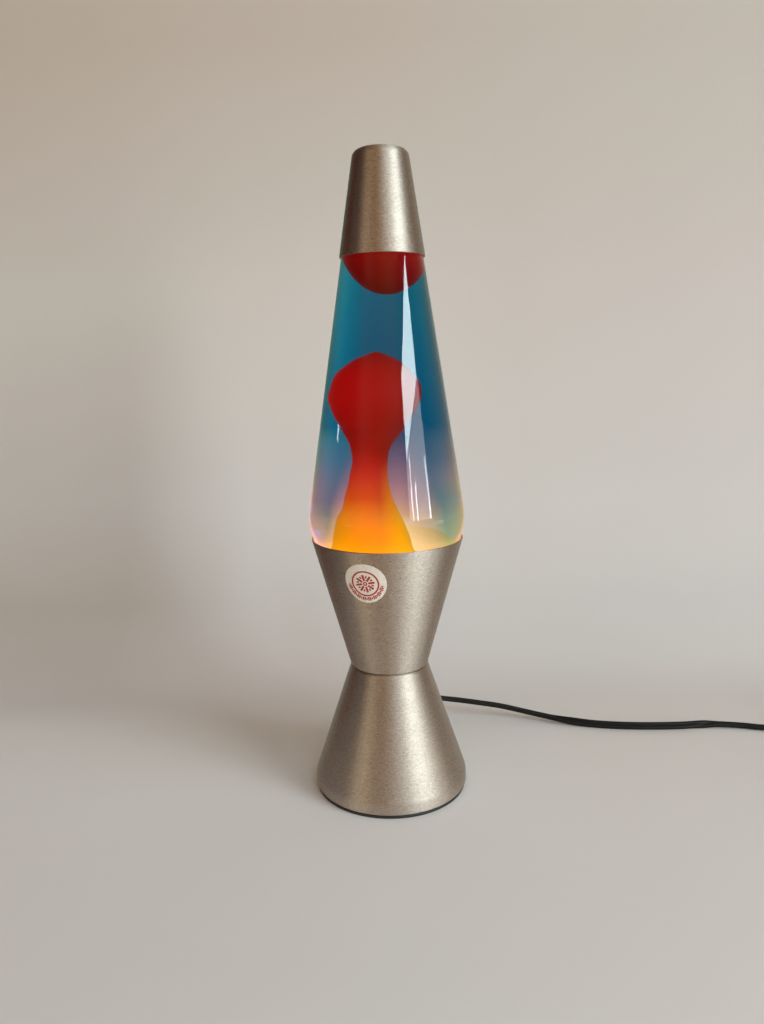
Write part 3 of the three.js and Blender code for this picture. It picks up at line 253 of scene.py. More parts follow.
def placed(name, mesh, smooth=SMOOTH_ANGLE):
    """An object of a mesh that is shaded smooth, except over its sharp edges."""
    mesh.shade_smooth()
    mesh.set_sharp_from_angle(angle=smooth)
    made = bpy.data.objects.new(name, mesh)
    bpy.context.scene.collection.objects.link(made)
    return made


def shape(name, surface, smooth=SMOOTH_ANGLE):
    """An object of a surface, which is its vertices and its faces."""
    verts, faces = surface
    mesh = bpy.data.meshes.new(name)
    mesh.from_pydata(verts, [], faces)
    return placed(name, mesh, smooth)


def piece(made, look, body, *nodes):
    """Gives a shape its look and its body, and hides the nodes that it stands for."""
    made.data.materials.append(look.material)
    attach(made, body)
    if nodes:
        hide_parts(*nodes)
    return made


def dressed(node, bevel, look, body):
    """A finer copy of a CAD node: its flat faces joined up and its edges rounded."""
    mesh = bpy.data.objects[node].data.copy()
    mesh.materials.clear()
    work = bmesh.new()
    work.from_mesh(mesh)
    bmesh.ops.remove_doubles(work, verts=work.verts, dist=JOIN_DISTANCE)
    bmesh.ops.dissolve_limit(work, angle_limit=FLAT_ANGLE, verts=work.verts, edges=work.edges)
    work.to_mesh(mesh)
    work.free()
    made = placed(f"{node}_finished", mesh)
    edges = made.modifiers.new("edges", "BEVEL")
    edges.width = bevel
    edges.segments = 2
    edges.limit_method = "ANGLE"
    edges.angle_limit = BEVEL_ANGLE
    edges.harden_normals = True
    return piece(made, look, body, node)


# Materials
NOISE_RANGE = (0.3, 0.7)
NO_LIGHT = (0.0, 0.0, 0.0)


class Nodes:
    """Short ways to add nodes to a tree. Its place is a point in the space that is asked for."""

    def __init__(self, tree, space="Object"):
        self.tree = tree
        self.place = self.add("TexCoord").outputs[space]

    def feed(self, socket, value):
        if isinstance(value, bpy.types.NodeSocket):
            self.tree.links.new(value, socket)
        elif isinstance(value, tuple) and len(value) == 3 and socket.type == "RGBA":
            socket.default_value = (*value, 1)
        else:
            socket.default_value = value

    def add(self, kind, feeds=None, **settings):
        made = self.tree.nodes.new(f"ShaderNode{kind}")
        for key, value in settings.items():
            setattr(made, key, value)
        for key, value in (feeds or {}).items():
            self.feed(made.inputs[key], value)
        return made

    def ramp(self, value, stops):
        """The value's colour, from stops of (place from 0 to 1, colour)."""
        node = self.add("ValToRGB", {"Fac": value})
        elements = node.color_ramp.elements
        while len(elements) < len(stops):
            elements.new(0.5)
        for element, (place, colour) in zip(elements, stops):
            element.position = place
            element.color = (*colour, 1)
        return node.outputs["Color"]

    def mix(self, share, a, b):
        """Two shaders mixed. The share is the second one's."""
        return self.add("MixShader", {0: share, 1: a, 2: b}).outputs[0]


class Look(Nodes):
    """A node material and its slot. The values are inputs of its shader, by their names."""

    def __init__(self, name, slot=None, **values):
        self.slot = slot or name
        self.material = bpy.data.materials.new(name)
        self.material.use_nodes = True
        super().__init__(self.material.node_tree)
        self.shader = self.tree.nodes["Principled BSDF"]
        for key, value in values.items():
            self.set(key.replace("_", " "), value)

    def set(self, name, value):
        names = {socket.name.lower(): socket for socket in self.shader.inputs}
        self.feed(names[name.lower()], value)

    def send(self, name, value):
        """Links a value to an input of the material's output."""
        self.feed(self.tree.nodes["Material Output"].inputs[name], value)

    def scaled(self, *scale):
        """Object coordinates, stretched by a scale along each axis."""
        return self.add("Mapping", {"Vector": self.place, "Scale": scale}).outputs["Vector"]

    def noise(self, scale, detail=2, vector=None, roughness=0.5):
        feeds = {"Scale": scale, "Detail": detail, "Roughness": roughness}
        return self.add("TexNoise", {"Vector": vector or self.place, **feeds}).outputs["Fac"]

    def axis(self, name):
        return self.add("SeparateXYZ", {"Vector": self.place}).outputs[name]

    def sums(self, operation, a, b):
        return self.add("Math", {0: a, 1: b}, operation=operation).outputs[0]

    def spread(self, value, low, high, to_low=0.0, to_high=1.0):
        """The value, mapped from one range to another and kept inside it."""
        feeds = {1: low, 2: high, 3: to_low, 4: to_high, 0: value}
        return self.add("MapRange", feeds).outputs[0]

    def blend(self, share, a, b):
        """Two colours mixed. The share is the second one's."""
        return self.add("Mix", {0: share, 6: a, 7: b}, data_type="RGBA").outputs[2]

    def ramps(self, value, places, *tables):
        """The value's colours from several tables, each with a colour for each place."""
        return [self.ramp(value, list(zip(places, colours))) for colours in tables]

    def mottle(self, pattern, stops, rough_low, rough_high):
        """Colours and roughness that follow one noise."""
        self.set("Base Color", self.ramp(pattern, stops))
        self.set("Roughness", self.spread(pattern, *NOISE_RANGE, rough_low, rough_high))

    def bump(self, height, strength, distance):
        feeds = {"Height": height, "Strength": strength, "Distance": distance}
        self.set("Normal", self.add("Bump", feeds).outputs["Normal"])

    def emit(self, colour, strength):
        self.set("Emission Color", colour)
        self.set("Emission Strength", strength)


def toned(colour, share, lift=0.0):
    """The colour made darker, or paler."""
    return tuple(min(1, share * c + lift) for c in colour)


METAL_COLOUR = (0.562, 0.49, 0.425)
METAL_ROUGHNESS = 0.55
METAL_STREAK = 0.77
METAL_DARK_SHARE = 0.68
METAL_PALE_SHARE = 1.24
METAL_DEPTH = 0.00003
# Noise scales along X, Y and Z: for the fine grain, and for broad bands
GRAIN_SCALE = (500, 500, 2200)
BANDS_SCALE = (6, 6, 260)


def spun_metal():
    """Satin aluminium: fine grain that runs round the piece, with a faint speckle."""
    look = Look("spun_metal", "spun_aluminium", metallic=1.0, anisotropic=METAL_STREAK,
                anisotropic_rotation=0.25)
    grain = look.noise(1, 3, look.scaled(*GRAIN_SCALE), 0.7)
    bands = look.noise(1, 2, look.scaled(*BANDS_SCALE))
    speckle = look.noise(1500, 2)
    shade = look.sums("ADD", grain, look.sums("MULTIPLY", speckle, 0.7))
    dark, pale = (toned(METAL_COLOUR, share) for share in (METAL_DARK_SHARE, METAL_PALE_SHARE))
    look.set("Base Color", look.ramp(look.spread(shade, 0.6, 1.1), ((0, dark), (1, pale))))
    rough = look.spread(look.sums("ADD", grain, bands), 0.7, 1.3, -0.05, 0.05)
    look.set("Roughness", look.sums("ADD", rough, METAL_ROUGHNESS))
    look.set("Tangent", look.add("Tangent", direction_type="RADIAL", axis="Z").outputs[0])
    look.bump(shade, 0.4, METAL_DEPTH)
    return look


# Depths of surface grain and waves
PLASTIC_DEPTH = 0.00003
PLATING_DEPTH = 0.00002
WAVE_DEPTH = 0.0004
BULB_WAVE_DEPTH = 0.0003
VINYL_DEPTH = 0.00004


def moulded(name, colour, roughness):
    """Moulded plastic with a faint surface grain."""
    look = Look(name)
    stops = ((0.3, colour), (0.75, toned(colour, 1.5, 0.003)))
    look.mottle(look.noise(220, 3), stops, roughness - 0.06, roughness + 0.06)
    look.bump(look.noise(2600, 2), 0.15, PLASTIC_DEPTH)
    return look


def plated(name, colour, roughness):
    """Plated or pressed metal, with a little tarnish."""
    look = Look(name, metallic=1.0)
    stops = ((0.35, toned(colour, 0.72)), (0.65, colour))
    look.mottle(look.noise(260, 4, roughness=0.65), stops, roughness + 0.1, roughness - 0.05)
    look.bump(look.noise(1800, 2), 0.12, PLATING_DEPTH)
    return look


def bottle_look(name, ior, mirror, tint=1.0):
    """Clear glass with faint waves in its surface, which mirrors more or less of the room."""
    look = Look(name, base_color=(0.97, 0.985, 0.98), roughness=0.0, ior=ior,
                transmission_weight=1.0, specular_ior_level=mirror,
                specular_tint=(tint, tint, tint, 1.0))
    look.bump(look.noise(1, 1, look.scaled(90, 90, 22)), 0.05, WAVE_DEPTH)
    return look


LIQUID_TINT = (0.2, 0.8, 0.9)
LIQUID_ABSORPTION = (0.0, 0.505, 0.722)
LIQUID_DENSITY = 55.0
# Painted glow on the liquid's far side, for the lamp's light low down and red light near the wax,
# from low to high: left of the wax, behind it and right of it
GLOW_LOW = 0.12
GLOW_HIGH = 0.215
GLOW_STRENGTH = 28.0
GLOW_SHARES = (0.33, 0.42, 0.52, 0.645, 0.78, 0.91, 1.0)
GLOW_LEFT = (
    (1.9, 0.08, 0.001), (0.68, 0.033, 0.0025), (0.51, 0.0195, 0.0072), (0.34, 0.019, 0.0081),
    (0.15, 0.0172, 0.0087), (0.057, 0.0148, 0.0065), (0.0, 0.005, 0.003),
)
GLOW_NEAR = (
    (9.3, 0.3, 0.0505), (5.8, 0.138, 0.0145), (3.85, 0.078, 0.0168), (1.9, 0.0375, 0.0115),
    (0.76, 0.016, 0.006), (0.2, 0.001, 0.0005), (0.0, 0.0, 0.0),
)
GLOW_RIGHT = (
    (0.9, 0.086, 0.0136), (0.6, 0.053, 0.0112), (0.42, 0.0367, 0.0098), (0.4, 0.0258, 0.0099),
    (0.168, 0.014, 0.0062), (0.07, 0.0086, 0.0047), (0.001, 0.0032, 0.0031),
)
# The glow changes over a reach, left of one edge and right of the other. Four numbers are two
# heights and the values at them.
LEFT_EDGE = (0.16, 0.2, -0.012, -0.006)
LEFT_REACH = 0.0075
RIGHT_EDGE = 0.004
RIGHT_REACH = (0.16, 0.206, 0.0155, 0.006)


def liquid_look():
    """Blue dyed liquid. Its far side has a painted glow low down, where the lamp below lights it.
    """
    look = Look("tinted_liquid", base_color=LIQUID_TINT, roughness=0.0, ior=1.0,
                transmission_weight=1.0)
    across, level = look.axis("X"), look.axis("Z")
    height = look.spread(level, GLOW_LOW, GLOW_HIGH)
    left, near, right = look.ramps(height, GLOW_SHARES, GLOW_LEFT, GLOW_NEAR, GLOW_RIGHT)
    past_left = look.sums("SUBTRACT", look.spread(level, *LEFT_EDGE), across)
    past_right = look.sums("SUBTRACT", across, RIGHT_EDGE)
    rightwards = look.sums("DIVIDE", past_right, look.spread(level, *RIGHT_REACH))
    behind_wax = look.blend(look.spread(rightwards, 0.0, 1.0), near, right)
    glow = look.blend(look.spread(past_left, 0.0, LEFT_REACH), behind_wax, left)
    # Painted glow, on the far side only
    behind = look.add("NewGeometry").outputs["Backfacing"]
    look.emit(look.blend(behind, NO_LIGHT, glow), GLOW_STRENGTH)
    look.material.cycles.emission_sampling = "NONE"
    absorb = look.add("VolumeAbsorption", {"Color": LIQUID_ABSORPTION, "Density": LIQUID_DENSITY})
    look.send("Volume", absorb.outputs[0])
    return look


WAX_GLOW = 7.8
WAX_BASE = 0.1269
WAX_PEAK = 0.2597
# Painted glow up the wax, over its own red: yellow near the lamp, deep red above
WAX_PAINTED_GLOW = (
    (0.1, (0.51, 0.128, 0.0)),
    (0.17, (0.58, 0.106, 0.0)),
    (0.234, (0.72, 0.084, 0.0)),
    (0.302, (0.95, 0.067, 0.002)),
    (0.385, (0.84, 0.022, 0.001)),
    (0.468, (0.73, 0.0085, 0.002)),
    (0.535, (0.53, 0.0025, 0.0008)),
    (0.588, (0.34, 0.0008, 0.0)),
    (0.663, (0.22, 0.0003, 0.0002)),
    (0.814, (0.185, 0.0003, 0.0002)),
    (0.965, (0.215, 0.0003, 0.0002)),
)
WAX_BODY = (0.3, 0.01, 0.008)
# The dome's painted glow: dim red, far above the lamp
DOME_GLOW = (0.06, 0.0, 0.0)
# Low down, the wax's right side is seen through more liquid, so a brighter glow is painted on it:
# by half up to one share of the height, and by nothing from the next
WAX_LIT = (2.6, 0.19, 0.0)
WAX_LIT_SHARES = (0.42, 0.55, 0.5, 0.0)
WAX_LIT_SIDE = (-0.003, 0.007)


def wax_look(name, colour=None):
    """Wax with a painted glow for the light through it from below: yellow where it is near the
    lamp, deep red above.
    """
    look = Look(name, "wax", base_color=WAX_BODY, roughness=0.45, specular_ior_level=0.1)
    if colour is None:
        wander = look.spread(look.noise(60, 3), *NOISE_RANGE, -0.012, 0.012)
        height = look.spread(look.axis("Z"), WAX_BASE, WAX_PEAK)
        plain = look.ramp(look.sums("ADD", height, wander), WAX_PAINTED_GLOW)
        # The share of the painted brighter glow on the right, low down
        low = look.spread(height, *WAX_LIT_SHARES)
        right = look.sums("MULTIPLY", look.spread(look.axis("X"), *WAX_LIT_SIDE), low)
        colour = look.blend(right, plain, WAX_LIT)
    uneven = look.spread(look.noise(140, 4), *NOISE_RANGE, 0.06, 0.0)
    look.emit(look.blend(uneven, colour, NO_LIGHT), WAX_GLOW)
    look.material.cycles.emission_sampling = "NONE"
    return look


def plain_glow(name, colour, strength):
    look = Look(name, base_color=colour, roughness=0.6)
    look.emit(look.blend(look.noise(900, 1), colour, toned(colour, 0.8)), strength)
    return look


def thin_glass():
    look = Look("bulb_glass", base_color=(0.99, 0.97, 0.93), roughness=0.02, ior=GLASS_IOR,
                transmission_weight=1.0)
    look.bump(look.noise(60, 2), 0.04, BULB_WAVE_DEPTH)
    # Painted glow of the filament's light in the glass
    look.emit((1.0, 0.66, 0.3), 0.12)
    return look


def lead_look():
    """Black vinyl, almost smooth, with a soft sheen."""
    look = Look("lead_vinyl", specular_ior_level=0.25)
    stops = ((0.3, (0.004, 0.0035, 0.0035)), (0.8, (0.008, 0.007, 0.0065)))
    look.mottle(look.noise(300, 3), stops, 0.5, 0.62)
    look.bump(look.noise(900, 2), 0.12, VINYL_DEPTH)
    return look


def film_look(name, colour):
    """Printed film: an even colour with a faint mottle."""
    look = Look(name, "sticker_film")
    stops = ((0.3, toned(colour, 0.93)), (0.7, toned(colour, 1.08)))
    look.mottle(look.noise(700, 3), stops, 0.47, 0.63)
    return look


GLASS_IOR = 1.45
# Where the liquid wets the glass, light bends by the ratio of the two: 1.45 to 1.33
WET_IOR = 1.09


METAL = spun_metal()
BLACK = moulded("black_plastic", (0.012, 0.011, 0.011), 0.5)
PHENOLIC = moulded("phenolic", (0.02, 0.013, 0.01), 0.35)
DARK_SLEEVE = moulded("dark_sleeve", (0.03, 0.028, 0.026), 0.6)
PALE_SLEEVE = moulded("pale_sleeve", (0.6, 0.57, 0.52), 0.6)
STEEL = plated("zinc_steel", (0.56, 0.56, 0.54), 0.34)
BRASS = plated("brass", (0.75, 0.52, 0.22), 0.28)
TIN = plated("tin_plate", (0.68, 0.66, 0.61), 0.3)
TUNGSTEN = plain_glow("tungsten", (1.0, 0.62, 0.22), 14.0)
LINER = moulded("closure_liner", (0.3, 0.36, 0.31), 0.7)
GLASS = bottle_look("bottle_glass", GLASS_IOR, 1.0)
# Below the bottle's bend the glass mirrors nothing of the room
HEEL_GLASS = bottle_look("heel_glass", GLASS_IOR, 0.0, 0.0)
WET_GLASS = bottle_look("wetted_glass", WET_IOR, 0.5)
BULB_GLASS = thin_glass()
LIQUID = liquid_look()
WAX = wax_look("wax")
DOME_WAX = wax_look("dome_wax", DOME_GLOW)
VINYL = lead_look()
FILM = film_look("sticker_film", (0.74, 0.68, 0.59))
RED_INK = film_look("red_ink", (0.4, 0.015, 0.02))


# Lead: a flat two-core cord. Its routes are the ones that the solids follow.
CORD_WIDTH = 0.0054
CORD_THICKNESS = 0.0027
CORD_WEB = 0.00095
CORD_STEP = 0.0025
LOBE_STEPS = 10
LOBE_SWEEP = radians(130)
EXIT_HEIGHT = 0.014
EXIT_TURN = radians(18)
EXIT_RADIUS = cone_radius(EXIT_HEIGHT)
BOOT_LENGTH = 0.02
SWITCH_PLACE = Vector((0.328, 0.058, 0))
SWITCH_HALF = 0.0293
SWITCH_CORD_HEIGHT = 0.0054

LEAD_ROUTE = [
    (0.0246, 0.0735, 0.0216), (0.03, 0.08, 0.019), (0.038, 0.0838, 0.016),
    (0.0498, 0.0848, 0.014), (0.0649, 0.0839, 0.012), (0.0793, 0.0831, 0.0098),
    (0.0934, 0.0806, 0.0073), (0.1072, 0.0774, 0.005), (0.1237, 0.0714, 0.0036),
    (0.1402, 0.0664, 0.003), (0.16, 0.063, 0.0028), (0.181, 0.0614, 0.0028),
    (0.2015, 0.0614, 0.0028), (0.216, 0.063, 0.0026), (0.228, 0.0635, 0.0024),
    (0.2435, 0.0618, 0.0021), (0.259, 0.0576, 0.0021), (0.274, 0.0562, 0.0023),
    (0.287, 0.0571, 0.0038),
]
COIL_APPROACH = [(0.37, 0.056, 0.005), (0.379, 0.051, 0.0045), (0.3855, 0.0435, 0.004)]

COIL_PLACE = Vector((0.352, 0.004, 0))
COIL_RADIUS = 0.037
COIL_PITCH = 0.0041
COIL_LAYER = 0.0066
COIL_LEVEL = 0.0035
COIL_TURNS = 7.25
COIL_REVERSE = COIL_TURNS / 2
COIL_CLIMB = 0.25
COIL_TAIL = 0.026
COIL_ROLL_SHARE = 0.8
LOOP_STEPS = 48
PLUG_GAP = 0.046
PLUG_LEVEL = 0.0077


def smoothstep(value, low, high):
    share = min(max((value - low) / (high - low), 0), 1)
    return share * share * (3 - 2 * share)


def cord_section():
    """The two round cores side by side, with the web between them."""
    radius = CORD_THICKNESS / 2
    lobe = []
    for k in range(LOBE_STEPS + 1):
        angle = LOBE_SWEEP * (2 * k / LOBE_STEPS - 1)
        lobe.append((radius + radius * cos(angle), radius * sin(angle)))
    left = [(-a, -b) for a, b in lobe]
    return [*lobe, (0, CORD_WEB), *left, (0, -CORD_WEB)]


def exit_point(distance):
    """A point on the axis of the lead's exit, that far out from the cone's wall."""
    radius = EXIT_RADIUS + distance * cos(CONE_TILT)
    height = EXIT_HEIGHT + distance * sin(CONE_TILT)
    return Vector((radius * sin(EXIT_TURN), radius * cos(EXIT_TURN), height))


def coil_point(turns):
    climb = smoothstep(turns, COIL_REVERSE - COIL_CLIMB, COIL_REVERSE + COIL_CLIMB)
    radius = COIL_RADIUS - COIL_PITCH * (COIL_REVERSE - abs(turns - COIL_REVERSE))
    angle = -FULL_TURN * turns
    level = COIL_LEVEL + COIL_LAYER * climb
    return COIL_PLACE + Vector((radius * cos(angle), radius * sin(angle), level))


def coil_tail(end, distance):
    """A point on the straight tail at one end of the coil, that far along the lead."""
    step = 0.5 / LOOP_STEPS
    heading = (coil_point(end + step) - coil_point(end - step)).normalized()
    return coil_point(end) + heading * distance


def switch_end(offset):
    """A point of the lead, that far right of the switch's middle."""
    return Vector((SWITCH_PLACE.x + offset, SWITCH_PLACE.y, SWITCH_CORD_HEIGHT))


# Along the table the lead rolls on edge between the first two places, and back between the last
ON_EDGE = (0.112, 0.142, 0.208, 0.232)


def lead_piece(name, points, roll, *nodes):
    """The piece for a stretch of the lead, and the points that it follows."""
    made = shape(name, skin(tube(points, cord_section(), roll)))
    return piece(made, VINYL, "base", *nodes), points


def lead_run():
    """The lead from the boot to the switch. It turns on edge for a way along the table."""
    boot = BOOT_LENGTH + SEAT_GAP
    start = [exit_point(boot), exit_point(boot + CORD_WIDTH)]
    end = [switch_end(-SWITCH_HALF - CORD_WIDTH), switch_end(-SWITCH_HALF)]
    points = smooth_line([*start, *LEAD_ROUTE, *end], CORD_STEP)

    def roll(i):
        on = smoothstep(points[i].x, ON_EDGE[0], ON_EDGE[1])
        off = smoothstep(points[i].x, ON_EDGE[2], ON_EDGE[3])
        return pi / 2 * (on - off)

    return lead_piece("lead_run", points, roll, "lead_to_switch")


def lead_rest():
    """The rest of the lead: round from the switch, wound in two layers, and on to the plug."""
    steps = round(COIL_TURNS * LOOP_STEPS)
    turns = [coil_point(COIL_TURNS * k / steps) for k in range(steps + 1)]
    tail_steps = round(COIL_TAIL / CORD_STEP)
    tail = [COIL_TAIL * k / tail_steps for k in range(1, tail_steps + 1)]
    start = [switch_end(SWITCH_HALF), switch_end(SWITCH_HALF + CORD_WIDTH), *COIL_APPROACH]
    start += [coil_tail(0, -COIL_TAIL - SEAT_GAP - gap) for gap in (CORD_WIDTH, 0)]
    end = [coil_tail(COIL_TURNS, COIL_TAIL + SEAT_GAP + gap) for gap in (0, CORD_WIDTH)]
    for gap in (CORD_WIDTH, 0):
        place = coil_tail(COIL_TURNS, PLUG_GAP - SEAT_GAP - gap)
        end.append((place.x, place.y, PLUG_LEVEL))
    before = smooth_line(start, CORD_STEP) + [coil_tail(0, -along) for along in reversed(tail)]
    after = [coil_tail(COIL_TURNS, along) for along in tail] + smooth_line(end, CORD_STEP)
    points = [*before, *turns, *after]

    def roll(i):
        nearest = turns[min(max(i - len(before), 0), steps)]
        away = (points[i] - nearest).length
        return pi / 2 * (1 - smoothstep(away, 0, COIL_TAIL * COIL_ROLL_SHARE))

    return lead_piece("lead_rest", points, roll, "lead_to_coil", "lead_coil", "lead_to_plug")


# Base
FOOT_FILLET = 0.006
HEM_HEIGHT = 0.002
HEM_WIDTH = 0.0026
HEM_FILLET = 0.0012
WAIST_FILLET = 0.0016
WAIST_HOLE = 0.0132


def cone_shell():
    top = WAIST_HEIGHT - SEAT_GAP
    line = [
        (FOOT_RADIUS - HEM_WIDTH, HEM_HEIGHT),
        (FOOT_RADIUS, HEM_HEIGHT, HEM_FILLET),
        (FOOT_RADIUS, FOOT_SHOULDER, FOOT_FILLET),
        (cone_radius(top), top, WAIST_FILLET),
        (WAIST_HOLE, top),
    ]
    piece(shape("cone_shell", revolve(lipped_sheet(line))), METAL, "base", "lower_cone")


def cup_shell():
    line = [
        (WAIST_HOLE, WAIST_HEIGHT),
        (WAIST_RADIUS, WAIST_HEIGHT, WAIST_FILLET),
        (CUP_RIM_RADIUS, CUP_RIM_HEIGHT),
    ]
    piece(shape("cup_shell", revolve(lipped_sheet(line))), METAL, "base", "upper_cup")


def foot_edge():
    outer, neck, bore, flange = 0.0453, 0.0431, 0.0416, 0.0386
    hem, seat, top = 0.0017, 0.0032, 0.0046
    edge = 0.0004
    outline = rounded([
        (bore, 0, edge), (outer, 0, edge), (outer, hem, edge), (neck, hem),
        (neck, top, edge), (flange, top, edge), (flange, seat, edge), (bore, seat),
    ], 3, closed=True)
    piece(shape("foot_edge", revolve(outline)), BLACK, "base", "foot_ring")


BOOT_NECK = 0.005
BOOT_FLANGE = 0.007
BOOT_END = 0.0036
BOOT_FLANGE_WALL = 0.0016
BOOT_INNER = -0.0022
BOOT_GROOVES = 3
BOOT_GROOVE = 0.0005


def boot_moulding():
    """The strain relief: a flanged bush through the wall that tapers down to the lead."""
    taper = []
    for k in range(1, BOOT_GROOVES + 1):
        share = k / (BOOT_GROOVES + 1)
        radius = BOOT_NECK + (BOOT_END - BOOT_NECK) * share
        place = BOOT_FLANGE_WALL + (BOOT_LENGTH - BOOT_FLANGE_WALL) * share
        taper += [(radius - BOOT_GROOVE * deep, place + BOOT_GROOVE * along, BOOT_GROOVE / 2)
                  for deep, along in ((0, -2), (1, -1), (1, 1), (0, 2))]
    rim = BOOT_FLANGE - BOOT_FLANGE_WALL / 2
    outline = rounded([
        (0, BOOT_INNER - BOOT_FLANGE_WALL),
        (rim, BOOT_INNER - BOOT_FLANGE_WALL, LIP),
        (rim, BOOT_INNER, LIP),
        (BOOT_NECK, BOOT_INNER),
        (BOOT_NECK, SEAT_GAP),
        (BOOT_FLANGE, SEAT_GAP, LIP),
        (rim, SEAT_GAP + BOOT_FLANGE_WALL, 2 * LIP),
        (BOOT_NECK, SEAT_GAP + BOOT_FLANGE_WALL, 2 * LIP),
        *taper,
        (BOOT_END, BOOT_LENGTH, 2 * LIP),
        (0, BOOT_LENGTH),
    ], 3)
    made = shape("boot_moulding", revolve(outline, SMALL_SIDES))
    outwards = Matrix.Rotation(pi / 2 - CONE_TILT, 4, "Y")
    moved = Matrix.Translation((EXIT_RADIUS, 0, EXIT_HEIGHT)) @ outwards
    made.data.transform(Matrix.Rotation(pi / 2 - EXIT_TURN, 4, "Z") @ moved)
    return piece(made, BLACK, "base", "cord_boot")


# Sticker: a round film on the cup, with a plain ring, tick strokes and a rosette in red
STICKER_RADIUS = 0.0121
STICKER_HEIGHT = 0.1363
STICKER_TURN = radians(-18.5)
STICKER_LIFT = 0.00005
STICKER_WALL = 0.00018
INK_WALL = 0.00004
STICKER_SIDES = 72
STICKER_RINGS = 8
# Rings of the print: radius, stroke and steps round
RINGS = ((0.0075, 0.0009, 72), (0.0009, 0.0007, 16))
# Its strokes: start, end and width. Short rays stand between the long ones.
RAYS = 8
RAYS_TURN = 0.2
RAY = (0.0019, 0.0055, 0.0012)
SHORT_RAY = (0.0036, 0.005, 0.0009)
TICKS = 25
TICKS_START = radians(188)
TICKS_SWEEP = radians(164)
TICK = (0.0085, 0.0107, 0.0008)
SHORT_TICK = (0.009, 0.0102, 0.0008)


def on_cup(across, along, lift):
    """A point on the cup's wall, that far across and up the slope from the sticker's centre."""
    height = STICKER_HEIGHT + along / CUP_LEAN
    radius = cup_radius(height) + lift / CUP_LEAN
    turn = STICKER_TURN + across / cup_radius(STICKER_HEIGHT)
    drop = lift * CUP_SLOPE / CUP_LEAN
    return Vector((radius * sin(turn), -radius * cos(turn), height - drop))


def sticker_film():
    shares = [(k + 1) / STICKER_RINGS for k in range(STICKER_RINGS)]
    levels = [(share, STICKER_LIFT) for share in shares]
    levels += [(share, STICKER_LIFT + STICKER_WALL) for share in reversed(shares)]
    edges = []
    for share, lift in levels:
        radius = STICKER_RADIUS * share
        edges.append([on_cup(radius * cos(angle), radius * sin(angle), lift)
                      for angle in around(STICKER_SIDES)])
    piece(shape("sticker_film", skin(edges), THIN_SMOOTH), FILM, "base", "round_sticker")


def ink_bands(bands):
    """A thin print on the sticker: each band is a list of pairs of (across, along) points."""
    low = STICKER_LIFT + STICKER_WALL
    high = low + INK_WALL
    verts = []
    faces = []
    for band in bands:
        points, sides = skin([[on_cup(*a, low), on_cup(*b, low), on_cup(*b, high), on_cup(*a, high)]
                              for a, b in band])
        faces += [tuple(len(verts) + i for i in face) for face in sides]
        verts += points
    return verts, faces


def ring_band(radius, stroke, steps):
    pairs = []
    for angle in [*around(steps), FULL_TURN]:
        out = Vector((cos(angle), sin(angle)))
        pairs.append((tuple(out * (radius + stroke / 2)), tuple(out * (radius - stroke / 2))))
    return pairs


def stroke_band(angle, start, end, width):
    """A straight stroke outwards, from one radius to another, with steps along it."""
    out = Vector((cos(angle), sin(angle)))
    side = Vector((-out.y, out.x)) * (width / 2)
    places = [out * (start + (end - start) * k / 3) for k in range(4)]
    return [(tuple(p - side), tuple(p + side)) for p in places]


def sticker_print():
    bands = [ring_band(*ring) for ring in RINGS]
    for angle in around(RAYS):
        bands.append(stroke_band(angle + RAYS_TURN, *RAY))
        bands.append(stroke_band(angle + RAYS_TURN + pi / RAYS, *SHORT_RAY))
    for k in range(TICKS):
        angle = TICKS_START + TICKS_SWEEP * k / (TICKS - 1)
        bands.append(stroke_band(angle, *(TICK if k % 3 else SHORT_TICK)))
    piece(shape("sticker_print", ink_bands(bands)), RED_INK, "base")


# Globe: the bottle follows the cup's taper, swells over its rim and narrows under the cap
BOTTLE_BASE = 0.1202
PUSH_UP = 0.0024
INNER_FLOOR = 0.1266
HEEL = 0.007
NECK_TOP = 0.3532
NECK_START = 0.024
NECK_RADIUS = 0.0118
BEAD_RADIUS = 0.0132
MOUTH_HEIGHT = 0.3586
MOUTH_RADIUS = 0.0084
BEAD_ROUND = 0.001
BEAD_FILLET = 0.0006
BEAD_DROP = 0.0032
NECK_LENGTH = 0.0045
NECK_FOOT_FILLET = 0.004
STAND_INSET = 0.008
STAND_FILLET = 0.002
PUSH_UP_SLOPE = 0.005
PUSH_UP_FILLET = 0.003
SHOULDER_FILLET = 0.032
NECK_FILLET = 0.01
GLASS_STEPS = 12
HEEL_TOP = 0.172
LIQUID_TOP = 0.331
WETTING = 0.0001


def seat_radius(height, inset):
    return cup_radius(height) - (SHELL_WALL + SEAT_GAP + inset) * CUP_LEAN


def taper_radius(height, inset):
    return cap_radius(height) - (CAP_WALL + SEAT_GAP + inset) * CAP_LEAN


def glass_side(base, inset):
    """The corners of the glass's side, inset by a distance, from a height up to the neck."""
    shoulder = (taper_radius(0, inset) - seat_radius(0, inset)) / (CUP_SLOPE + CAP_SLOPE)
    top = CAP_RIM_HEIGHT + NECK_START
    return [
        (seat_radius(base, inset), base, HEEL),
        (seat_radius(shoulder, inset), shoulder, SHOULDER_FILLET),
        (taper_radius(top, inset), top, NECK_FILLET),
    ]


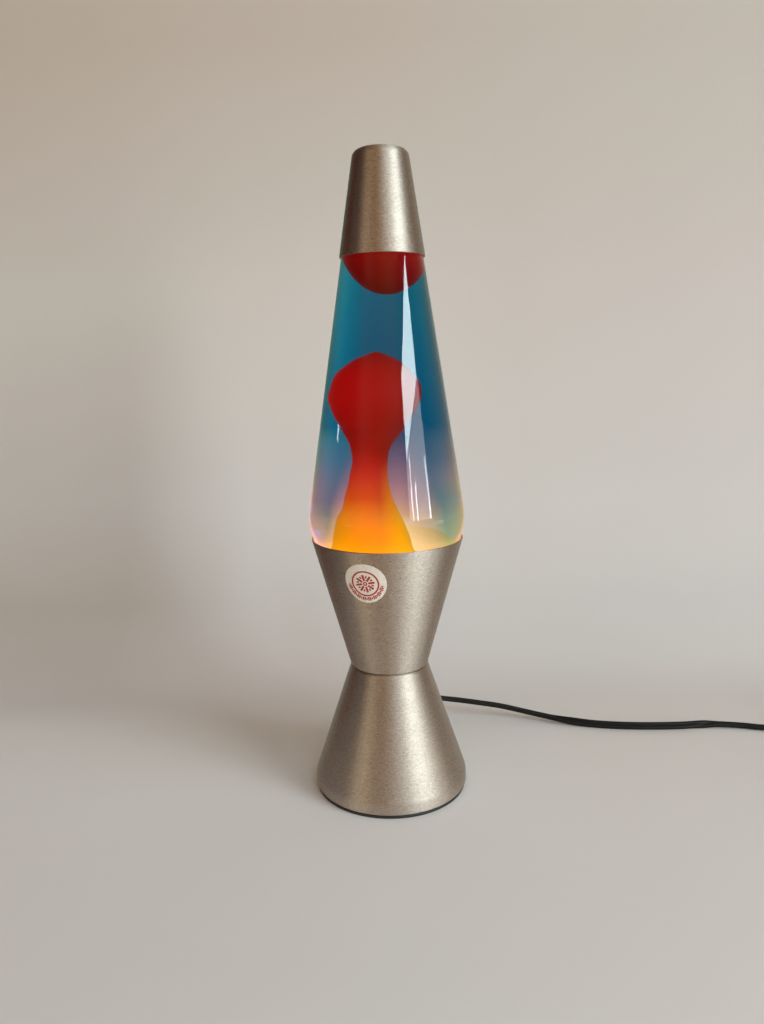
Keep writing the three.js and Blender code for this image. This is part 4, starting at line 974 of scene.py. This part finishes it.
def bottle():
    """The glass. Its inner wall is wetted glass, and its outside is heel glass low down."""
    stand = seat_radius(BOTTLE_BASE, 0) - STAND_INSET
    outside = rounded([
        (0, BOTTLE_BASE + PUSH_UP),
        (stand - PUSH_UP_SLOPE, BOTTLE_BASE + PUSH_UP, PUSH_UP_FILLET),
        (stand, BOTTLE_BASE, STAND_FILLET),
        *glass_side(BOTTLE_BASE, 0),
        (NECK_RADIUS, NECK_TOP - NECK_LENGTH, NECK_FOOT_FILLET),
        (NECK_RADIUS, NECK_TOP, BEAD_FILLET),
        (BEAD_RADIUS, NECK_TOP + BEAD_ROUND, BEAD_FILLET),
        (BEAD_RADIUS, MOUTH_HEIGHT - BEAD_ROUND, BEAD_FILLET),
        (BEAD_RADIUS - BEAD_ROUND, MOUTH_HEIGHT, BEAD_FILLET),
        (MOUTH_RADIUS, MOUTH_HEIGHT),
    ], GLASS_STEPS)
    inside = rounded([
        (0, INNER_FLOOR),
        *glass_side(INNER_FLOOR, GLASS_WALL),
        (MOUTH_RADIUS, NECK_TOP - BEAD_DROP),
    ], GLASS_STEPS)
    made = shape("bottle", revolve(inside[::-1] + outside), ROUND_SMOOTH)
    piece(made, GLASS, "globe", "glass_bottle")
    for look in (WET_GLASS, HEEL_GLASS):
        made.data.materials.append(look.material)
    for face in made.data.polygons:
        x, y, height = face.center
        inner = face.normal.dot(Vector((x, y, 0))) < 0 or abs(height - INNER_FLOOR) < WETTING
        if inner and height < LIQUID_TOP:
            face.material_index = 1  # wetted glass
        elif not inner and height < HEEL_TOP:
            face.material_index = 2  # heel glass


def liquid_fill():
    """The liquid, up to its level behind the cap."""
    inset = GLASS_WALL + WETTING
    base = INNER_FLOOR + WETTING
    side = rounded([(0, base), *glass_side(base, inset), (0, NECK_TOP)], GLASS_STEPS)
    kept = [(radius, height) for radius, height in side if height < LIQUID_TOP]
    level = [(taper_radius(LIQUID_TOP, inset), LIQUID_TOP), (0, LIQUID_TOP)]
    piece(shape("liquid_fill", revolve(kept + level), ROUND_SMOOTH), LIQUID, "globe", "liquid")


# Wax: each row has the share of the column's height, and shares of the glass's inner radius:
# the lean to the right, the half width across and the half depth
WAX_SHARES = [
    (0, -0.1, 0.835, 0.8),
    (0.055, -0.12, 0.785, 0.76),
    (0.12, -0.2, 0.676, 0.61),
    (0.189, -0.17, 0.465, 0.47),
    (0.234, -0.168, 0.411, 0.42),
    (0.294, -0.176, 0.335, 0.34),
    (0.34, -0.182, 0.29, 0.29),
    (0.4, -0.194, 0.247, 0.25),
    (0.46, -0.197, 0.218, 0.22),
    (0.543, -0.187, 0.207, 0.21),
    (0.603, -0.178, 0.248, 0.24),
    (0.633, -0.172, 0.292, 0.28),
    (0.663, -0.162, 0.358, 0.34),
    (0.694, -0.157, 0.42, 0.4),
    (0.724, -0.158, 0.492, 0.46),
    (0.769, -0.151, 0.576, 0.53),
    (0.814, -0.143, 0.635, 0.59),
    (0.859, -0.132, 0.627, 0.58),
    (0.904, -0.155, 0.565, 0.53),
    (0.942, -0.146, 0.45, 0.43),
    (0.968, -0.134, 0.32, 0.31),
    (0.986, -0.124, 0.175, 0.17),
    (1, -0.12, 0.03, 0.03),
]
WAX_SIDES = 72
WAX_ROW_STEPS = 6
WAX_LEAST_SHARE = 0.02
WAX_RIPPLE = 0.0006
RIPPLE_SCALE = 90
WAX_GAP = 0.0006
WAX_SMOOTH = radians(80)
DOME_LEVELS = 40
DOME_DIP = 0.0003
DOME_PLACE = Vector((0.0018, 0, 0.322))
DOME_RADII = Vector((0.0196, 0.0196, 0.0315))


def inside_radius(height):
    return min(seat_radius(height, GLASS_WALL), taper_radius(height, GLASS_WALL))


def wax_ring(middle, across, deep, ripple=0.0):
    """An oval ring of wax, drawn in to the inside of the liquid where it is past it."""
    room = inside_radius(middle.z) - WAX_GAP
    ring = []
    for angle in around(WAX_SIDES):
        out = Vector((cos(angle), sin(angle), 0))
        place = middle + Vector((out.x * across, out.y * deep, 0))
        place += out * (ripple * noise.noise(place * RIPPLE_SCALE))
        away = hypot(place.x, place.y)
        share = min(1, room / away) if away else 1
        ring.append(Vector((place.x * share, place.y * share, place.z)))
    return ring


def wax_rise():
    """The column: an oval ring at each row, and between the rows."""
    rows = smoothed([Vector(row) for row in WAX_SHARES], lambda a, b: WAX_ROW_STEPS)
    rings = []
    for share, lean, *halves in rows:
        height = WAX_BASE + (WAX_PEAK - WAX_BASE) * share
        room = inside_radius(height) - SEAT_GAP
        across, deep = (max(half, WAX_LEAST_SHARE) * room for half in halves)
        rings.append(wax_ring(Vector((lean * room, 0, height)), across, deep, WAX_RIPPLE))
    piece(shape("wax_rise", skin(rings), WAX_SMOOTH), WAX, "globe", "wax_column")


def wax_float():
    """The lump at the top: a ball cut off flat at the liquid's level, against the glass."""
    low = DOME_PLACE.z - DOME_RADII.z
    top = LIQUID_TOP - DOME_DIP
    rings = []
    for k in range(1, DOME_LEVELS + 1):
        height = low + (top - low) * (k / DOME_LEVELS) ** 1.5
        share = max(0, 1 - ((height - DOME_PLACE.z) / DOME_RADII.z) ** 2) ** 0.5
        middle = Vector((DOME_PLACE.x, DOME_PLACE.y, height))
        rings.append(wax_ring(middle, DOME_RADII.x * share, DOME_RADII.y * share))
    piece(shape("wax_float", skin(rings), WAX_SMOOTH), DOME_WAX, "globe", "wax_dome")


HEATER_RING = 0.016
HEATER_CURL = 0.0034
HEATER_WIRE = 0.0006
HEATER_CURLS = 17
HEATER_STEPS = 24
WIRE_SIDES = 10
HEATER_GAP_SHARE = 0.05
HEATER_BASE = INNER_FLOOR + 2 * SEAT_GAP + HEATER_CURL + HEATER_WIRE


def heater_wire():
    """The wire spring bent into a ring on the bottle's floor."""
    steps = HEATER_CURLS * HEATER_STEPS
    points = []
    centres = []
    for i in range(steps + 1):
        curl = FULL_TURN * i * HEATER_CURLS / steps
        turn = FULL_TURN * (1 - HEATER_GAP_SHARE) * i / steps
        out = Vector((cos(turn), sin(turn), 0))
        centres.append(out * HEATER_RING + UP * HEATER_BASE)
        points.append(centres[-1] + (out * cos(curl) + UP * sin(curl)) * HEATER_CURL)
    rings = []
    for i, (point, centre) in enumerate(zip(points, centres)):
        along = (points[min(i + 1, steps)] - points[max(i - 1, 0)]).normalized()
        side = along.cross(point - centre).normalized() * HEATER_WIRE
        lift = side.cross(along)
        rings.append([point - side * cos(a) + lift * sin(a) for a in around(WIRE_SIDES)])
    piece(shape("heater_wire", skin(rings)), STEEL, "globe", "heating_coil")


CROWN_FLUTES = 21
CROWN_BASE = 0.3601
CROWN_WALL = 0.0004
CROWN_SKIRT = 0.006
CROWN_FLUTE = 0.00055
CROWN_FLARE = 0.0012
CROWN_MIDDLE = 0.0004
CROWN_DROPS = 4
CROWN_SIDES = CROWN_FLUTES * 10


def crown():
    """The pressed crown cap, whose skirt folds into flutes under the bead."""
    bead = BEAD_RADIUS + SEAT_GAP
    flared = bead + CROWN_FLARE
    shoulder = CROWN_BASE - BEAD_ROUND
    skirt = CROWN_BASE - CROWN_SKIRT
    top = CROWN_BASE + CROWN_WALL

    def ring(radius, height, flute=0.0):
        turned = [(radius + flute * cos(CROWN_FLUTES * a), a) for a in around(CROWN_SIDES)]
        return [Vector((reach * cos(a), reach * sin(a), height)) for reach, a in turned]

    def skirt_ring(start, end, share):
        """A ring at a share of the way down the skirt, between its radii at the two ends."""
        height = shoulder + (skirt - shoulder) * share
        return ring(start + (end - start) * share, height, CROWN_FLUTE * share)

    shares = [k / CROWN_DROPS for k in range(CROWN_DROPS + 1)]
    rings = [ring(CROWN_MIDDLE, CROWN_BASE), ring(bead - BEAD_ROUND, CROWN_BASE)]
    rings += [skirt_ring(bead + CROWN_WALL / 2, flared, share) for share in shares]
    rings += [skirt_ring(bead + 2 * CROWN_WALL, flared + CROWN_WALL, share)
              for share in reversed(shares)]
    rings += [ring(bead - BEAD_ROUND / 2, top), ring(CROWN_MIDDLE, top)]
    piece(shape("crown", skin(rings), THIN_SMOOTH), TIN, "globe", "crown_closure")


CAP_FILLET = 0.0046
CAP_STEPS = 14


def cap_shell():
    line = [
        (CAP_RIM_RADIUS, CAP_RIM_HEIGHT),
        (CAP_TOP_RADIUS, TOTAL_HEIGHT, CAP_FILLET),
        (0, TOTAL_HEIGHT),
    ]
    made = shape("cap_shell", revolve(lipped_sheet(line, CAP_WALL, CAP_STEPS)))
    piece(made, METAL, "cap", "lamp_cap")


# Bulb
BULB_RADIUS = 0.0175
BULB_TOP = 0.1106
BULB_NECK = 0.0067
BULB_GLASS_BASE = 0.0651
BULB_CAP_TOP = 0.0693
BULB_WALL = 0.0008
BALL_START_SHARE = 1.5
BULB_STEPS = 24
BULB_SIDES = 64
FILAMENT_SPREAD = 0.006
FILAMENT_HEIGHT = 0.0954
FILAMENT_RISE = 0.002
FILAMENT_CURL = 0.0004
FILAMENT_CURLS = 18
FILAMENT_STEPS = 10
FILAMENT_WIRE = 0.00012
FILAMENT_SIDES = 6


def bulb_line(inset):
    """The bulb's outline, up its neck and round its ball."""
    radius = BULB_RADIUS - inset
    neck = BULB_NECK - inset
    sweep = pi - asin(neck * BALL_START_SHARE / radius)
    line = [(neck, BULB_GLASS_BASE), (neck, BULB_CAP_TOP + SEAT_GAP)]
    for k in range(BULB_STEPS + 1):
        angle = sweep * (1 - k / BULB_STEPS)
        line.append((radius * sin(angle), BULB_TOP - BULB_RADIUS + radius * cos(angle)))
    return line


def bulb_glass():
    outline = bulb_line(BULB_WALL)[::-1] + bulb_line(0)
    made = shape("bulb_glass", revolve(outline, BULB_SIDES), ROUND_SMOOTH)
    piece(made, BULB_GLASS, "bulb", "bulb_envelope")


def bulb_filament():
    """The glowing filament: a fine coil that arches between its two wires."""
    steps = FILAMENT_CURLS * FILAMENT_STEPS
    points = []
    for i in range(steps + 1):
        share = i / steps
        curl = FULL_TURN * FILAMENT_CURLS * share
        rise = FILAMENT_RISE * sin(pi * share) + FILAMENT_CURL * cos(curl)
        across = FILAMENT_SPREAD * (2 * share - 1)
        points.append(Vector((across, FILAMENT_CURL * sin(curl), FILAMENT_HEIGHT + rise)))
    section = [(FILAMENT_WIRE * cos(a), FILAMENT_WIRE * sin(a)) for a in around(FILAMENT_SIDES)]
    piece(shape("bulb_filament", skin(tube(points, section))), TUNGSTEN, "bulb", "filament")


# Pieces whose solids have the right shape: a copy of each, with its edges rounded that far
DRESSED = [
    (BLACK, "base", {
        "bottom_cover": 0.0003, "lead_tie": 0.0001, "plug_body": 0.0006,
        "switch_upper_half": 0.0006, "switch_lower_half": 0.0006,
    }),
    (STEEL, "base", {
        "socket_bracket": 0.0002, "waist_rivet_1": 0.0003, "waist_rivet_2": 0.0003,
        "waist_rivet_3": 0.0003, "centre_stud": 0.0003, "bottom_nut": 0.0003,
        "bracket_nut": 0.0003, "rocker_pin": 0.0001, "switch_screw_1": 0.0002,
        "switch_screw_2": 0.0002,
    }),
    (PHENOLIC, "base", {"socket_body": 0.0003}),
    (BRASS, "base", {
        "socket_screw_shell": 0.0001, "centre_contact": 0.0001, "terminal_screw_live": 0.0002,
        "terminal_screw_neutral": 0.0002, "plug_blade_live": 0.0003,
        "plug_blade_neutral": 0.0003,
    }),
    (DARK_SLEEVE, "base", {"core_live": 0.0001}),
    (PALE_SLEEVE, "base", {"core_neutral": 0.0001}),
    (BLACK, "rocker", {"switch_rocker": 0.0004}),
    (BRASS, "bulb", {"bulb_screw_cap": 0.0001}),
    (PHENOLIC, "bulb", {"bulb_insulator": 0.0002}),
    (STEEL, "bulb", {
        "bulb_tip_contact": 0.0002, "filament_wire_1": 0.0001, "filament_wire_2": 0.0001,
    }),
    (BULB_GLASS, "bulb", {"bulb_stem": 0.0003}),
    (LINER, "globe", {"crown_liner": 0.0001}),
]


# Stage: a pale sweep, a window to the right, and a dim room that the metal mirrors
SWEEP_HALF_WIDTH = 3.0
SWEEP_FRONT = -2.5
SWEEP_BEND_START = 0.12
SWEEP_BEND_RADIUS = 0.17
SWEEP_BEND_STEPS = 24
SWEEP_TOP = 2.2
# The backdrop's colours, with painted shade that darkens them up the wall and low on the wall at
# the left, run back along the floor and up the wall, from the first length to the second. Across,
# the left gives way to the middle, and the middle to the right, over the blends.
SWEEP_WAY = (-0.25, 0.85)
SWEEP_LEFT_BLEND = (-0.24, -0.13)
SWEEP_RIGHT_BLEND = (0.0, 0.13)
SWEEP_SHARES = (0.087, 0.205, 0.305, 0.4, 0.482, 0.602, 0.693, 0.775, 0.853, 0.971)
# Painted shade: darker up the wall, and darker still low on the wall at the left
SHADED_SWEEP_LEFT = (
    (0.7, 0.68, 0.66), (0.723, 0.708, 0.689), (0.7, 0.68, 0.66), (0.58, 0.555, 0.525),
    (0.521, 0.485, 0.442), (0.571, 0.544, 0.517), (0.587, 0.55, 0.513), (0.572, 0.539, 0.486),
    (0.536, 0.475, 0.426), (0.493, 0.42, 0.352),
)
SHADED_SWEEP_MIDDLE = (
    (0.69, 0.67, 0.645), (0.725, 0.708, 0.685), (0.68, 0.65, 0.62), (0.655, 0.62, 0.6),
    (0.625, 0.606, 0.586), (0.649, 0.63, 0.605), (0.637, 0.597, 0.554), (0.615, 0.563, 0.513),
    (0.552, 0.502, 0.448), (0.5, 0.427, 0.366),
)
SHADED_SWEEP_RIGHT = (
    (0.694, 0.666, 0.633), (0.691, 0.656, 0.622), (0.678, 0.642, 0.605), (0.638, 0.62, 0.586),
    (0.598, 0.576, 0.547), (0.604, 0.57, 0.533), (0.587, 0.545, 0.505), (0.566, 0.51, 0.467),
    (0.53, 0.477, 0.426), (0.49, 0.439, 0.38),
)
# In mirrors the paper fades out between these distances from the lamp
NEAR_FLOOR = 0.2
FAR_FLOOR = 0.42
# The room as it is seen through glass, and as it lights what is matt
WORLD_COLOUR = (0.515, 0.45, 0.4)
AMBIENT_COLOUR = (0.343, 0.228, 0.152)


def sweep_look():
    """Paper in the backdrop's colours with painted shade. It shows from its front, in mirrors only
    near the lamp.
    """
    look = Look("sweep_paper", roughness=0.9, specular_ior_level=0.1)
    across = look.axis("X")
    along = look.sums("ADD", look.axis("Y"), look.axis("Z"))
    wander = look.spread(look.noise(3, 2), 0, 1, -0.02, 0.02)
    share = look.spread(look.sums("ADD", along, wander), *SWEEP_WAY)
    tables = (SHADED_SWEEP_LEFT, SHADED_SWEEP_MIDDLE, SHADED_SWEEP_RIGHT)
    left, middle, right = look.ramps(share, SWEEP_SHARES, *tables)
    near = look.blend(look.spread(across, *SWEEP_LEFT_BLEND), left, middle)
    look.set("Base Color", look.blend(look.spread(across, *SWEEP_RIGHT_BLEND), near, right))
    away = look.add("VectorMath", {0: look.place}, operation="LENGTH").outputs["Value"]
    faded = look.spread(away, NEAR_FLOOR, FAR_FLOOR)
    mirrored = look.sums("MULTIPLY", look.add("LightPath").outputs["Is Glossy Ray"], faded)
    behind = look.add("NewGeometry").outputs["Backfacing"]
    hidden = look.sums("MAXIMUM", mirrored, behind)
    clear = look.add("BsdfTransparent").outputs[0]
    look.send("Surface", look.mix(hidden, look.shader.outputs[0], clear))
    return look


def sweep():
    """The floor, which curves up into a wall behind the lamp."""
    profile = [(SWEEP_FRONT, 0)]
    for k in range(SWEEP_BEND_STEPS + 1):
        angle = pi / 2 * k / SWEEP_BEND_STEPS
        profile.append((SWEEP_BEND_START + SWEEP_BEND_RADIUS * sin(angle),
                        SWEEP_BEND_RADIUS * (1 - cos(angle))))
    profile.append((SWEEP_BEND_START + SWEEP_BEND_RADIUS, SWEEP_TOP))
    verts = [(x, y, z) for y, z in profile for x in (-SWEEP_HALF_WIDTH, SWEEP_HALF_WIDTH)]
    faces = [(2 * k, 2 * k + 1, 2 * k + 3, 2 * k + 2) for k in range(len(profile) - 1)]
    made = shape("sweep", (verts, faces), ROUND_SMOOTH)
    made.data.materials.append(sweep_look().material)


# The colours of the room that the metal mirrors, round from the left by way of the front
ROOM_STOPS = [
    (0.0, (0.012, 0.002, 0.0)),
    (0.05, (0.03, 0.006, 0.002)),
    (0.095, (0.155, 0.03, 0.005)),
    (0.14, (0.37, 0.245, 0.14)),
    (0.2, (0.33, 0.16, 0.05)),
    (0.31, (0.5, 0.31, 0.14)),
    (0.4, (0.03, 0.02, 0.012)),
    (0.48, (0.04, 0.025, 0.02)),
    (0.56, (0.25, 0.15, 0.09)),
    (0.66, (0.5, 0.5, 0.43)),
    (0.75, (0.34, 0.42, 0.36)),
    (0.82, (0.18, 0.31, 0.25)),
    (0.9, (0.115, 0.018, 0.004)),
    (0.96, (0.065, 0.006, 0.0)),
    (1.0, (0.012, 0.002, 0.0)),
]


def add_world():
    world = bpy.data.worlds.new("studio")
    bpy.context.scene.world = world
    world.use_nodes = True
    nodes = Nodes(world.node_tree, "Generated")
    turn = nodes.add("TexGradient", {"Vector": nodes.place}, gradient_type="RADIAL")
    room = nodes.ramp(turn.outputs["Fac"], ROOM_STOPS)
    plain, ambient, mirrored = (nodes.add("Background", {"Color": colour}).outputs[0]
                                for colour in (WORLD_COLOUR, AMBIENT_COLOUR, room))
    rays = nodes.add("LightPath").outputs
    unmirrored = nodes.mix(rays["Is Diffuse Ray"], plain, ambient)
    seen = nodes.mix(rays["Is Glossy Ray"], unmirrored, mirrored)
    nodes.feed(nodes.tree.nodes["World Output"].inputs["Surface"], seen)


# Light panels
WINDOW_X = 1.1
BAR_X = WINDOW_X - 0.03
WINDOW_COLOUR = (0.8, 0.98, 1.0)
PANEL_AIM = Vector((0, 0, 0.2))
# Those that face left: name, centre, width, height, watts and colour
SIDE_PANELS = (
    ("window", (WINDOW_X, -1.08, 0.674), 1.16, 0.278, 18.2, WINDOW_COLOUR),
    ("window_low", (WINDOW_X, -1.07, 0.34), 1.24, 0.38, 6.2, (1.0, 0.92, 0.92)),
    ("window_bar_1", (BAR_X, -1.36, 0.38), 0.05, 0.24, 1.0, WINDOW_COLOUR),
    ("window_bar_2", (BAR_X, -1.08, 0.3), 0.05, 0.16, 0.8, WINDOW_COLOUR),
    ("window_bar_3", (BAR_X, -0.494, 0.28), 0.04, 0.16, 0.4, WINDOW_COLOUR),
    ("floor_right", (WINDOW_X, -0.25, 0.06), 0.4, 0.1, 0.8, (1.0, 0.93, 0.8)),
    ("front_low", (WINDOW_X, -2.2, -0.1), 0.9, 0.28, 5.0, (0.7, 0.8, 1.0)),
)
# Those that face the lamp's middle
AIMED_PANELS = (
    ("front_high", (0.85, -2.35, 1.85), 0.9, 0.4, 9.0, (0.64, 0.86, 1.0)),
    ("above_right", (0.85, -1.0, 1.9), 1.8, 0.4, 5.0, (0.62, 0.85, 1.0)),
    ("daylight", (1.9, -1.3, 0.8), 1.6, 0.8, 6.2, (0.45, 0.55, 1.0)),
    ("side_gleam", (-1.0, -0.92, 0.05), 0.5, 0.12, 1.9, (1.0, 0.93, 0.68)),
    ("glint", (-1.0, -0.05, 0.345), 0.07, 0.03, 0.08, (0.87, 0.98, 1.0)),
)


def add_panel(aim, name, place, width, height, watts, colour):
    data = bpy.data.lights.new(name, "AREA")
    data.shape = "RECTANGLE"
    data.size = width
    data.size_y = height
    data.energy = watts
    data.color = colour
    made = bpy.data.objects.new(name, data)
    made.rotation_euler = aim.to_track_quat("-Z", "Y").to_euler()
    made.location = place
    made.visible_camera = False
    bpy.context.scene.collection.objects.link(made)
    return made


def add_lights():
    for row in SIDE_PANELS:
        add_panel(Vector((-1, 0, 0)), *row)
    made = {row[0]: add_panel(PANEL_AIM - Vector(row[1]), *row) for row in AIMED_PANELS}
    made["daylight"].visible_glossy = False


def build():
    add_camera()
    run, run_line = lead_run()
    rest, rest_line = lead_rest()
    boot = boot_moulding()
    finished = {node: dressed(node, bevel, look, body)
                for look, body, bevels in DRESSED for node, bevel in bevels.items()}
    for make in (cone_shell, cup_shell, foot_edge, sticker_film, sticker_print, bulb_glass,
                 bulb_filament, bottle, liquid_fill, wax_rise, wax_float, heater_wire, crown,
                 cap_shell, sweep, add_world, add_lights):
        make()
    bpy.context.scene.view_settings.view_transform = "Standard"


build()
